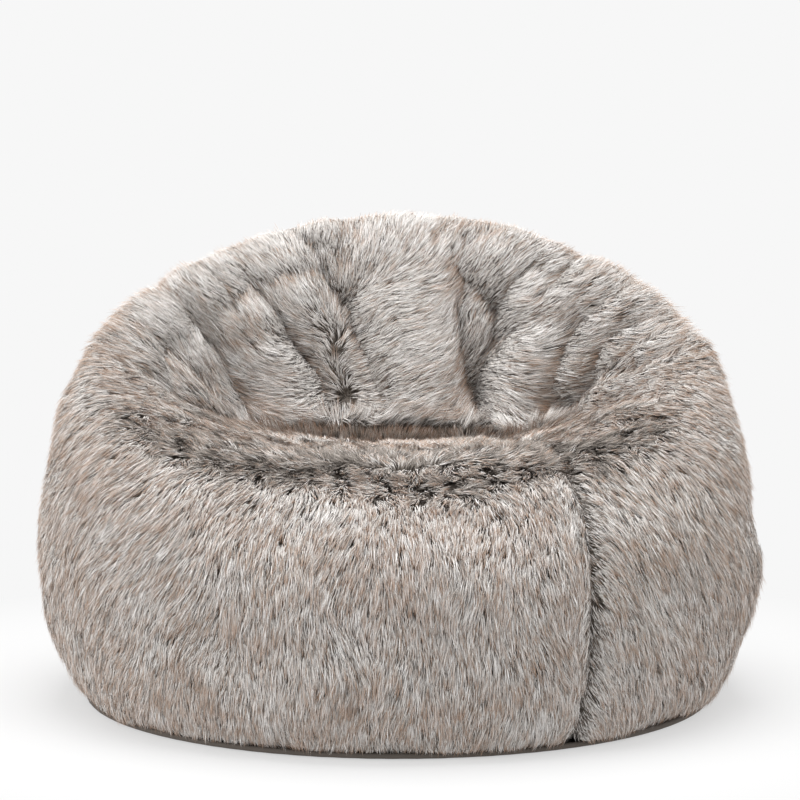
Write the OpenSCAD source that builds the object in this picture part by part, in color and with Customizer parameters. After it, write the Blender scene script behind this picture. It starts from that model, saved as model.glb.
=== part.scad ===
// Round bean bag chair with a long-pile fur cover, a zipped inner liner and a bead filling.
// The bag stands on its flat base, +Z up, and the sitter faces -Y.
// Angles around the bag are counted from the front (-Y) towards +X.

/* [Bag outline] */
// Overall width of the bag over the pile, left to right
bag_w = 1000; // [700:10:1300]
// Overall depth of the bag over the pile, front to back
bag_d = 950; // [680:10:1250]
// Height of the widest part of the belly
belly_z = 175; // [140:5:240]
// Height of the back rim over the pile
back_h = 660; // [540:10:820]
// Height of the front lip over the pile
front_h = 365; // [330:5:440]
// Radius of the circle on which the bag stands
base_r = 420; // [320:5:460]

/* [Seat hollow] */
// Length of the fold where the seat meets the back
crevice_w = 380; // [260:10:480]
// Distance of that fold behind the middle of the bag
crevice_y = 100; // [40:5:140]
// Height of that fold over the ground
crevice_z = 340; // [280:5:360]
// Gap left along the fold
crevice_slit = 2; // [2:0.5:4]
// Roundness of the slopes that run down into the hollow
slope_power = 1.8; // [1.4:0.1:2.4]
// Place of the front crown, as a share of the way from the fold to the belly
crown_front = 0.56; // [0.45:0.01:0.65]
// The same share at the arms
crown_side = 0.69; // [0.55:0.01:0.75]
// The same share at the back
crown_back = 0.53; // [0.45:0.01:0.62]

/* [Cover] */
// Height of the combed pile
pile_h = 24; // [15:1:40]
// Thickness of the pile's woven backing
backing_t = 3; // [1.5:0.5:4]
// Gap between two panels of the cover along a seam
seam_gap = 1.5; // [0.8:0.1:3]
// Width of the tape that binds each seam inside
tape_w = 16; // [10:1:24]
// Thickness of that tape
tape_t = 1; // [0.6:0.2:1.6]
// Height above the ground of the front panels' lower edge
front_hem_z = 4; // [3:0.5:8]
// Height above the ground of the rear panels' lower edge, over the zip
rear_hem_z = 24; // [20:1:34]
// Thickness of the base cloth
base_t = 3; // [2:0.5:5]
// Radius of the piping cord round the base
piping_r = 3.5; // [2.5:0.25:3.75]

/* [Cover zip] */
// Angle at which the zip starts, counted from the front
zip_start = 92; // [91:1:110]
// Angle covered by the zip's tapes
zip_sweep = 176; // [100:1:178]
// Width of one row of the coil
coil_w = 3; // [2:0.25:4]
// Thickness of the coil
coil_t = 3; // [2:0.25:4]
// Slot between the two rows, in which the slider's neck runs
coil_slot = 1.6; // [1.2:0.1:2.4]
// Thickness of the zip's tape
zip_tape_t = 1; // [0.6:0.1:1.4]
// Length of the slider along the zip
slider_l = 16; // [12:0.5:22]
// Width of the slider across the zip
slider_w = 11; // [9:0.5:14]
// Thickness of the slider's two plates
slider_plate = 1.4; // [1:0.1:2]
// Radius of the pin that carries the pull
pin_r = 0.9; // [0.7:0.05:1.2]
// Length of the pull, from its pin
pull_l = 30; // [18:1:40]
// Width of the pull
pull_w = 8; // [6:0.5:10]
// Thickness of the pull
pull_t = 1.8; // [1.2:0.1:2.2]

/* [Liner and filling] */
// Gap between the cover's seam tapes and the liner
liner_gap = 3.2; // [2.4:0.1:5]
// Thickness of the liner's cloth
liner_t = 1.2; // [0.8:0.1:2]
// Gap between the liner and the filling
fill_gap = 2.6; // [1.8:0.1:4]
// Length of the liner's zip
liner_zip_l = 420; // [240:10:480]
// Width of the liner zip's opening
liner_zip_w = 26; // [20:1:34]
// Place of the liner's zip behind the middle of the bag
liner_zip_y = 60; // [-100:5:120]

/* [Hidden] */

fur_colour = [0.69, 0.64, 0.60];
cloth_colour = [0.30, 0.27, 0.25];
liner_colour = [0.88, 0.87, 0.84];
metal_colour = [0.42, 0.38, 0.34];

// depths of the layers under the pile's tips
cover_t = pile_h + backing_t;
touch = 0.4;
tape_clear = 1.4;
tape_d = cover_t + tape_clear;
liner_d = tape_d + tape_t + liner_gap;
fill_d = liner_d + liner_t + fill_gap;

// ---------- the bag's outer surface ----------
// v = 0..1 climbs from the ground to the belly, 1..2 to the crown, 2..3 down into the hollow
circle_top_z = 45;      // below this height the wall is truly round
circle_fade_z = 90;     // above it the wall eases to the belly's own outline
crown_rise = 1.32;      // how late the crown climbs from the front to the back
mean_r = (bag_w + bag_d) / 4;
slope_end = 2.99;

function lerp(a, b, t) = a + (b - a) * t;
function ease(t) = let (c = min(1, max(0, t))) c * c * (3 - 2 * c);
function unit(p) = p / norm(p);
function ray(phi) = [sin(phi), -cos(phi)];
function belly(phi) = [bag_w / 2 * sin(phi), -bag_d / 2 * cos(phi)];
function fold(phi) = [crevice_w / 2 * sin(phi), crevice_y - crevice_slit / 2 * cos(phi)];
function crown_z(phi) =
    lerp(front_h, back_h, pow((1 - cos(phi)) / 2, crown_rise));
function crown_share(phi) =
    let (mid = (crown_front + crown_back) / 2)
    mid + (crown_front - crown_back) / 2 * cos(phi) + (crown_side - mid) * pow(sin(phi), 2);

function lower_wall(phi, v) =
    let (z = belly_z * (1 - cos(90 * v)),
         wide = lerp(mean_r * ray(phi), belly(phi), ease((z - circle_top_z) / circle_fade_z)),
         p = lerp(base_r * ray(phi), wide, sin(90 * v)))
    [p.x, p.y, z];
function upper_wall(phi, v) =
    let (c = crown_share(phi),
         p = lerp(fold(phi), belly(phi), c + (1 - c) * cos(90 * (v - 1))))
    [p.x, p.y, lerp(belly_z, crown_z(phi), sin(90 * (v - 1)))];
function inner_slope(phi, v) =
    let (s = max(0, 3 - v),
         p = lerp(fold(phi), belly(phi), crown_share(phi) * s))
    [p.x, p.y, lerp(crevice_z, crown_z(phi), 1 - pow(1 - s, slope_power))];
function skin(phi, v) =
    v <= 1 ? lower_wall(phi, v) : v <= 2 ? upper_wall(phi, v) : inner_slope(phi, v);

step_phi = 0.5;
step_v = 0.004;
fold_blend = 45;        // near the fold the layers lie level under each other
function fold_distance(phi, v) = v <= 2 ? fold_blend
    : norm([skin(phi, v).x, skin(phi, v).y] - fold(phi));
function skin_normal(phi, v) =
    let (n = unit(cross(skin(phi + step_phi, v) - skin(phi - step_phi, v),
                        skin(phi, min(3, v + step_v)) - skin(phi, max(0, v - step_v)))))
    unit(lerp([0, 0, 1], n, ease(fold_distance(phi, v) / fold_blend)));
function layer(phi, v, d) = skin(phi, v) - d * skin_normal(phi, v);

// height on the lower wall turned into v
function hem_v(z) = acos(1 - z / belly_z) / 90;
front_v = hem_v(front_hem_z);
rear_v = hem_v(rear_hem_z);
cap_v = 2.4;            // the cap's upper edge
cap_seam = 0.005;       // half the gap along that edge, as a share of the slope

// the rear seams lean in over the rim to the cap's upper corners
rear_seam = 150;
cap_corner_top = 163;
cap_corner_low = 153;
function rear_edge(v) =
    v < 2 ? rear_seam
    : v < cap_v ? lerp(rear_seam, cap_corner_top, ease((v - 2) / (cap_v - 2)))
    : lerp(cap_corner_top, cap_corner_low, (v - cap_v) / (3 - cap_v));
function seam_angle(k, v) =       // k counts the six seams from the front right one
    k == 2 ? rear_edge(v) : k == 3 ? 360 - rear_edge(v) : 30 + 60 * k;

function stations(from, to, n) = [for (i = [0:n]) lerp(from, to, i / n)];
wall_stations = 7;
crown_stations = 8;
rim_stations = 4;
cap_stations = 6;
function wall_and_rim(from, to) = concat(
    stations(from, 1, wall_stations),
    [for (i = [1:crown_stations]) 1 + i / crown_stations],
    [for (i = [1:rim_stations]) lerp(2, to, i / rim_stations)]);
function cover_stations(from, to) = concat(
    wall_and_rim(from, cap_v),
    [for (i = [1:cap_stations]) lerp(cap_v, to, i / cap_stations)]);

// ---------- a curved sheet from a grid of outer points and one of inner points ----------
module sheet(outer, inner) {
    n = len(outer) - 1;
    m = len(outer[0]) - 1;
    half = (n + 1) * (m + 1);
    function at(i, j) = i * (m + 1) + j;
    faces = concat(
        [for (i = [0:n - 1], j = [0:m - 1]) each [
            [at(i, j), at(i + 1, j + 1), at(i + 1, j)],
            [at(i, j), at(i, j + 1), at(i + 1, j + 1)],
            [half + at(i, j), half + at(i + 1, j), half + at(i + 1, j + 1)],
            [half + at(i, j), half + at(i + 1, j + 1), half + at(i, j + 1)]]],
        [for (i = [0:n - 1]) each [
            [half + at(i, 0), at(i, 0), at(i + 1, 0)],
            [half + at(i + 1, 0), half + at(i, 0), at(i + 1, 0)],
            [half + at(i + 1, m), at(i + 1, m), at(i, m)],
            [half + at(i, m), half + at(i + 1, m), at(i, m)]]],
        [for (j = [0:m - 1]) each [
            [half + at(0, j + 1), at(0, j + 1), at(0, j)],
            [half + at(0, j), half + at(0, j + 1), at(0, j)],
            [at(n, j), at(n, j + 1), half + at(n, j + 1)],
            [at(n, j), half + at(n, j + 1), half + at(n, j)]]]);
    polyhedron(points = concat([for (col = outer) each col], [for (col = inner) each col]), faces = faces);
}

// sideways step along a seam, which shrinks towards the fold so that the panels keep apart
side_fade = 60;
function sideways(phi, v, w) =
    let (t = unit(skin(phi + step_phi, v) - skin(phi - step_phi, v)))
    t * w * (v <= 2 ? 1 : min(1, 0.03 + norm([skin(phi, v).x, skin(phi, v).y] - fold(phi)) / side_fade));

columns = 10;
function panel_grid(k0, k1, rows, d) = [for (i = [0:columns]) [for (v = rows)
    let (a = seam_angle(k0, v) - (k0 > k1 ? 360 : 0),
         phi = lerp(a, seam_angle(k1, v), i / columns),
         shift = i == 0 ? seam_gap / 2 : i == columns ? -seam_gap / 2 : 0)
    layer(phi, v, d) + sideways(phi, v, shift)]];

module cover_panel(k0, k1, rows) {
    color(fur_colour)
    sheet(panel_grid(k0, k1, rows, 0), panel_grid(k0, k1, rows, cover_t));
}

module front_gore() cover_panel(5, 0, cover_stations(front_v, slope_end));
module front_right_gore() cover_panel(0, 1, cover_stations(front_v, slope_end));
module rear_right_gore() cover_panel(1, 2, cover_stations(rear_v, slope_end));
module rear_gore() cover_panel(2, 3, wall_and_rim(rear_v, cap_v - cap_seam));
module rear_left_gore() cover_panel(3, 4, cover_stations(rear_v, slope_end));
module front_left_gore() cover_panel(4, 5, cover_stations(front_v, slope_end));
module top_cap() cover_panel(2, 3, stations(cap_v + cap_seam, slope_end, cap_stations));

// ---------- tapes that bind the seams inside the cover ----------
// the tapes bend at the same stations as the panels that they bind
function tape_stations(from) =
    let (rows = cover_stations(from, slope_end)) [for (i = [1:len(rows) - 2]) rows[i]];
function tape_grid(k, rows, d) = [for (side = [-1, 0, 1]) [for (v = rows)
    layer(seam_angle(k, v), v, d) + sideways(seam_angle(k, v), v, side * tape_w / 2)]];

module seam_tape(k, from) {
    rows = tape_stations(from);
    color(cloth_colour)
    sheet(tape_grid(k, rows, tape_d), tape_grid(k, rows, tape_d + tape_t));
}

module seam_tape_front_right() seam_tape(0, front_v);
module seam_tape_right() seam_tape(1, rear_v);
module seam_tape_rear_right() seam_tape(2, rear_v);
module seam_tape_rear_left() seam_tape(3, rear_v);
module seam_tape_left() seam_tape(4, rear_v);
module seam_tape_front_left() seam_tape(5, front_v);

cap_tape_share = tape_w / 2 / (crown_back * (bag_d / 2 - crevice_y));
cap_tape_inset = 3.5;   // degrees kept clear of the tapes that come up the rear seams
function cap_tape_grid(d) =
    [for (i = [0:columns]) [for (side = [-1, 0, 1])
        let (v = cap_v + side * cap_tape_share / 2, low = cap_corner_top + cap_tape_inset)
        layer(lerp(low, 360 - low, i / columns), v, d)]];

module seam_tape_cap() {
    color(cloth_colour)
    sheet(cap_tape_grid(tape_d), cap_tape_grid(tape_d + tape_t));
}

// ---------- base ----------
base_panel_r = base_r + 3;
piping_ring_r = base_panel_r + piping_r + touch + 1;

module base_panel() {
    color(cloth_colour)
    cylinder(r = base_panel_r, h = base_t, $fn = 180);
}

module base_piping() {
    color(cloth_colour)
    rotate_extrude($fn = 180)
    translate([piping_ring_r, piping_r + 1])
    circle(r = piping_r, $fn = 32);
}

// ---------- cover zip, on a cone between the base and the rear panels ----------
function wall_profile(v) = [lerp(base_r, mean_r, sin(90 * v)), belly_z * (1 - cos(90 * v))];
function wall_out(v) = unit([belly_z * sin(90 * v), -(mean_r - base_r) * cos(90 * v)]);
zip_clear = 1.2;
zip_foot = [piping_ring_r + 1, 2 * piping_r + 1 + zip_clear];
hem_inside = wall_profile(rear_v) - cover_t * wall_out(rear_v);
zip_up = unit(hem_inside - zip_foot);
zip_out = [zip_up.y, -zip_up.x];
zip_band = norm(hem_inside - zip_foot) - zip_clear;
zip_place = 0.3;        // the coil's place up the band, low enough for the pull to swing under the hem
zip_low = zip_band * zip_place;
zip_high = zip_band - zip_low;
zip_mid = zip_foot + zip_up * zip_low;
zip_tilt = atan2(zip_up.x, zip_up.y);
coil_edge = coil_slot / 2 + coil_w;
zip_facets = 180;

// a strip that runs round the bag: across = how far up the band, thick = how far out of it
module zip_strip(across, thick, from, sweep) {
    rotate([0, 0, from - 90])
    rotate_extrude(angle = sweep, $fn = zip_facets)
    polygon([for (c = [[0, 0], [0, 1], [1, 1], [1, 0]])
        zip_mid + zip_up * across[c.x] + zip_out * thick[c.y]]);
}

module zip_tape_upper() {
    color(cloth_colour)
    zip_strip([coil_edge, zip_high], [-zip_tape_t / 2, zip_tape_t / 2], zip_start, zip_sweep);
}

module zip_tape_lower() {
    color(cloth_colour)
    zip_strip([-zip_low, -coil_edge], [-zip_tape_t / 2, zip_tape_t / 2], zip_start, zip_sweep);
}

stop_inset = 1.5;       // degrees from the tape's end to a stop
stop_sweep = 0.8;       // degrees that a stop covers
coil_start = zip_start + stop_inset + stop_sweep;
coil_sweep = zip_sweep - 2 * (stop_inset + stop_sweep);

module zip_coil_upper() {
    color(metal_colour)
    zip_strip([coil_slot / 2, coil_edge], [-coil_t / 2, coil_t / 2], coil_start, coil_sweep);
}

module zip_coil_lower() {
    color(metal_colour)
    zip_strip([-coil_edge, -coil_slot / 2], [-coil_t / 2, coil_t / 2], coil_start, coil_sweep);
}

module zip_stop(from) {
    color(metal_colour)
    zip_strip([-coil_edge, coil_edge], [-coil_t / 2, coil_t / 2], from, stop_sweep);
}

module zip_stop_closed() zip_stop(zip_start + stop_inset);
module zip_stop_open() zip_stop(zip_start + zip_sweep - stop_inset - stop_sweep);

// puts a piece drawn with x along the zip, y out of it and z up the band at the slider's place
slider_rest = zip_start + 6;
module at_slider() {
    rotate([0, 0, slider_rest])
    translate([0, -zip_mid.x, zip_mid.y])
    rotate([zip_tilt, 0, 0])
    mirror([0, 1, 0])
    children();
}

plate_clear = 0.4;
plate_in = coil_t / 2 + plate_clear;
lug_gap = 4.8;
lug_t = 1.2;
lug_l = 5;
pin_out = plate_in + slider_plate + 2.6;
eye_r = pin_r + 1.1;
eye_clear = 0.08;
eye_side = 0.2;

module slider_plate_shape() {
    linear_extrude(slider_plate)
    intersection() {
        square([slider_l, slider_w], center = true);
        translate([-slider_l * 0.15, 0]) circle(r = slider_l * 0.68, $fn = 48);
    }
}

module zip_slider() {
    neck_l = slider_l / 4;
    neck_w = coil_slot - 0.7;
    lip_t = slider_w / 2 - coil_edge - plate_clear;
    lip_h = plate_in - zip_tape_t / 2 - plate_clear;
    color(metal_colour)
    at_slider()
    union() {
        for (side = [-1, 1])
            translate([0, side > 0 ? plate_in : -plate_in - slider_plate, 0])
            rotate([-90, 0, 0])
            slider_plate_shape();
        translate([slider_l / 2 - neck_l - 1, -plate_in - slider_plate / 2, -neck_w / 2])
            cube([neck_l, 2 * plate_in + slider_plate, neck_w]);
        for (side = [-1, 1], edge = [-1, 1])
            translate([-slider_l * 0.3, side > 0 ? plate_in - lip_h : -plate_in, 0])
            translate([0, 0, edge > 0 ? slider_w / 2 - lip_t : -slider_w / 2])
            cube([slider_l * 0.5, lip_h, lip_t]);
        for (edge = [-1, 1])
            translate([-lug_l / 2, plate_in, edge > 0 ? lug_gap / 2 : -lug_gap / 2 - lug_t])
            cube([lug_l, pin_out - plate_in + pin_r + 0.8, lug_t]);
        translate([0, pin_out, -lug_gap / 2 - lug_t / 2])
            cylinder(r = pin_r, h = lug_gap + lug_t, $fn = 32);
    }
}

// the eye is slim, and the pull widens once it is past the lugs
module zip_pull() {
    eye_w = lug_gap - 2 * eye_side;
    shoulder = lug_l / 2 + 1.4;
    hole_r = pull_w / 4;
    color(metal_colour)
    at_slider()
    translate([0, pin_out, 0])
    difference() {
        union() {
            translate([0, 0, -eye_w / 2]) cylinder(r = eye_r, h = eye_w, $fn = 32);
            translate([0, -pull_t / 2, -eye_w / 2]) cube([shoulder + 0.5, pull_t, eye_w]);
            translate([shoulder, pull_t / 2, 0])
            rotate([90, 0, 0])
            linear_extrude(pull_t)
            union() {
                translate([0, -pull_w / 2]) square([pull_l - shoulder - pull_w / 2, pull_w]);
                translate([pull_l - shoulder - pull_w / 2, 0]) circle(d = pull_w, $fn = 48);
            }
        }
        translate([0, 0, -eye_w]) cylinder(r = pin_r + eye_clear, h = 2 * eye_w, $fn = 32);
        translate([pull_l - pull_w / 2, pull_t, 0])
        rotate([90, 0, 0])
        cylinder(r = hole_r, h = 2 * pull_t, $fn = 32);
    }
}

// ---------- liner ----------
liner_base_z = base_t + 2;
liner_base_t = 1;
liner_ring_r = base_r - 13;
liner_columns = 22;
liner_rows = concat([-1], stations(front_v, 1, 4), [for (i = [1:5]) 1 + i / 5], stations(2.14, slope_end, 6));
function soft_layer(phi, v, d, ring_r, ring_z) =
    v < 0 ? [ring_r * sin(phi), -ring_r * cos(phi), ring_z] : layer(phi, v, d);
function liner_grid(from, d) = [for (i = [0:liner_columns]) [for (v = liner_rows)
    let (phi = from + 180 * i / liner_columns,
         shift = i == 0 ? seam_gap / 4 : i == liner_columns ? -seam_gap / 4 : 0,
         ring_r = liner_ring_r - (d - liner_d),
         ring_z = liner_base_z + liner_base_t + touch)
    soft_layer(phi, v, d, ring_r, ring_z) + (v < 0
        ? [cos(phi), sin(phi), 0] * shift : sideways(phi, v, shift))]];

module liner_half(from) {
    color(liner_colour)
    sheet(liner_grid(from, liner_d), liner_grid(from, liner_d + liner_t));
}

module liner_right() liner_half(0);
module liner_left() liner_half(180);

// the liner's base is open under its zip
module liner_base() {
    color(liner_colour)
    translate([0, 0, liner_base_z])
    difference() {
        cylinder(r = liner_ring_r - liner_t, h = liner_base_t, $fn = 180);
        translate([-liner_zip_l / 2, liner_zip_y - liner_zip_w / 2, -1])
            cube([liner_zip_l, liner_zip_w, liner_base_t + 2]);
    }
}

// ---------- liner zip, straight and flat in the liner's base ----------
small_coil_w = 2;
small_coil_t = 1.6;
small_slot = 1.2;
small_tape_t = 0.6;
small_plate = 0.7;
small_clear = 0.3;
small_lap = 7;
small_edge = small_slot / 2 + small_coil_w;
small_coil_top = liner_base_z + liner_base_t;
small_slider_l = 11;
small_slider_w = 8;
small_stop_l = 3;
small_travel_l = liner_zip_l - 2 * (small_stop_l + 4);

module liner_zip_tapes() {
    color(liner_colour)
    for (side = [-1, 1])
        translate([-liner_zip_l / 2 - 6, liner_zip_y + (side > 0 ? small_edge : -liner_zip_w / 2 - small_lap),
                   small_coil_top])
        cube([liner_zip_l + 12, liner_zip_w / 2 + small_lap - small_edge, small_tape_t]);
}

module liner_zip_coils() {
    color("white")
    for (side = [-1, 1])
        translate([-small_travel_l / 2 - small_stop_l,
                   liner_zip_y + (side > 0 ? small_slot / 2 : -small_edge),
                   small_coil_top + small_tape_t - small_coil_t])
        cube([small_travel_l + 2 * small_stop_l, small_coil_w, small_coil_t]);
}

// a staple of cloth across both rows at each end
module liner_zip_stops() {
    color(metal_colour)
    for (end = [-1, 1])
        translate([end > 0 ? small_travel_l / 2 : -small_travel_l / 2 - small_stop_l,
                   liner_zip_y - small_edge, small_coil_top + small_tape_t])
        cube([small_stop_l, 2 * small_edge, small_plate]);
}

module liner_zip_slider() {
    low = small_coil_top + small_tape_t - small_coil_t - small_clear - small_plate;
    high = small_coil_top + small_tape_t + small_clear;
    color(metal_colour)
    translate([-small_travel_l / 2 + 1, liner_zip_y, 0])
    union() {
        for (z = [low, high])
            translate([0, -small_slider_w / 2, z]) cube([small_slider_l, small_slider_w, small_plate]);
        translate([1, -0.3, low]) cube([3, 0.6, high - low + small_plate]);
    }
}

// ---------- bead filling ----------
fill_sides = 2 * liner_columns;
fill_bottom_z = small_coil_top + small_tape_t + touch;
fill_ring_r = liner_ring_r - liner_t - 2;
function fill_point(i, v) = soft_layer(360 * i / fill_sides, v, fill_d, fill_ring_r, fill_bottom_z);

module fill_body() {
    rows = len(liner_rows);
    rings = [for (v = liner_rows) each [for (i = [0:fill_sides - 1]) fill_point(i, v)]];
    low = len(rings);
    high = low + 1;
    function at(r, i) = r * fill_sides + i % fill_sides;
    polyhedron(
        points = concat(rings, [[0, 0, fill_bottom_z], [0, crevice_y, crevice_z - fill_d]]),
        faces = concat(
            [for (r = [0:rows - 2], i = [0:fill_sides - 1]) each [
                [at(r, i), at(r + 1, i + 1), at(r, i + 1)],
                [at(r, i), at(r + 1, i), at(r + 1, i + 1)]]],
            [for (i = [0:fill_sides - 1]) [low, at(0, i), at(0, i + 1)]],
            [for (i = [0:fill_sides - 1]) [high, at(rows - 1, i + 1), at(rows - 1, i)]]));
}

module bead_fill() {
    color("white")
    difference() {
        fill_body();
        translate([-liner_zip_l / 2, liner_zip_y - small_slider_w / 2 - 2, fill_bottom_z - 1])
            cube([liner_zip_l, small_slider_w + 4, 3]);
    }
}

front_gore();
front_right_gore();
rear_right_gore();
rear_gore();
rear_left_gore();
front_left_gore();
top_cap();
base_panel();
base_piping();
seam_tape_front_right();
seam_tape_right();
seam_tape_rear_right();
seam_tape_rear_left();
seam_tape_left();
seam_tape_front_left();
seam_tape_cap();
zip_tape_upper();
zip_tape_lower();
zip_coil_upper();
zip_coil_lower();
zip_stop_closed();
zip_stop_open();
zip_slider();
zip_pull();
liner_right();
liner_left();
liner_base();
liner_zip_tapes();
liner_zip_coils();
liner_zip_stops();
liner_zip_slider();
bead_fill();
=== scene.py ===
"""A round fur bean bag chair: combed pile on sewn panels, a hidden zip, a liner and its beads."""
import logging
import math
from dataclasses import dataclass, field
from enum import Enum
from functools import cached_property
from typing import Sequence

import bmesh
import bpy
import numpy as np
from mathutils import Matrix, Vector


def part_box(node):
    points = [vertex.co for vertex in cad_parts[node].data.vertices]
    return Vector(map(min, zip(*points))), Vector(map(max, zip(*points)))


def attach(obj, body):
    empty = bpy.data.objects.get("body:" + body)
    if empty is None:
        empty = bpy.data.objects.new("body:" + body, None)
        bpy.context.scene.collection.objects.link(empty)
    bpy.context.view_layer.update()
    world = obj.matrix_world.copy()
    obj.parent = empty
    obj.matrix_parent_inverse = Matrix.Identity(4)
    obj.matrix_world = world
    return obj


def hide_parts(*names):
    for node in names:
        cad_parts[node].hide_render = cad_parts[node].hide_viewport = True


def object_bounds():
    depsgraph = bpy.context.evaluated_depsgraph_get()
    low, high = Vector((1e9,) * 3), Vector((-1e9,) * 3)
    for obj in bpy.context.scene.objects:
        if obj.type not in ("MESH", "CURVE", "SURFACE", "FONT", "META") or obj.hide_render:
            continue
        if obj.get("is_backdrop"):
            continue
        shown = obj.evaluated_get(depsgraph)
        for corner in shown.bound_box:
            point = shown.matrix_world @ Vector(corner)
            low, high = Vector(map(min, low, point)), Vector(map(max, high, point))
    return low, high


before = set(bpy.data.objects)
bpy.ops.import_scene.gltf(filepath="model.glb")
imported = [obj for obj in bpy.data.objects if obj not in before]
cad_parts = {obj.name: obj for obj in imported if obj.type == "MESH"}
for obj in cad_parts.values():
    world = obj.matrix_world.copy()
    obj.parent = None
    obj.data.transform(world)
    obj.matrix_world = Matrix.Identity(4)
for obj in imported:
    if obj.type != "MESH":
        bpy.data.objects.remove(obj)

BAKE_UV = "OFBake"
BACKDROP = (0.93, 0.93, 0.93)
FRONT_HEM_Z = 0.010
REAR_HEM_Z = 0.030
FOLD_END = 2.996
CAP_GAP = 0.005
Array = np.ndarray

logging.basicConfig(level=logging.INFO, format="%(message)s")
log = logging.getLogger("bean_bag")


# ---------------------------------------------------------------- numbers and noise


def lerp(a: Array, b: Array, t: Array) -> Array:
    """Straight blend from a to b."""
    return a + (b - a) * t


def ease(t: Array) -> Array:
    """Smooth step from 0 to 1, flat outside that range."""
    c = np.clip(t, 0.0, 1.0)
    return c * c * (3.0 - 2.0 * c)


def unit(v: Array) -> Array:
    """Vectors of length one, along the last axis."""
    return v / np.maximum(np.linalg.norm(v, axis=-1, keepdims=True), 1e-9)


def signed(phi: Array) -> Array:
    """The same angles from -180 to 180, with 0 at the front."""
    return (phi + 180) % 360 - 180


def bump(x: Array, middle: float, spread: float) -> Array:
    """Bell curve of height one round the middle."""
    return np.exp(-(((x - middle) / spread) ** 2))


def noise(p: Array, scale: float, seed: int, waves: int = 12) -> Array:
    """Smooth noise in space, of about unit spread.

    Args:
        p: Points, with x, y and z along the last axis.
        scale: Typical size of a patch, in metres.
        seed: Picks the pattern.
        waves: Number of plane waves that are added up.

    Returns:
        One value for each point.
    """
    rng = np.random.default_rng(seed)
    k = unit(rng.normal(size=(waves, 3))) * rng.uniform(0.6, 1.5, (waves, 1)) * math.tau / (2 * scale)
    phase = rng.uniform(0, math.tau, waves)
    return np.sin(p @ k.T + phase).sum(axis=-1) * math.sqrt(2.0 / waves)


# ---------------------------------------------------------------- the bag's form


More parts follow.
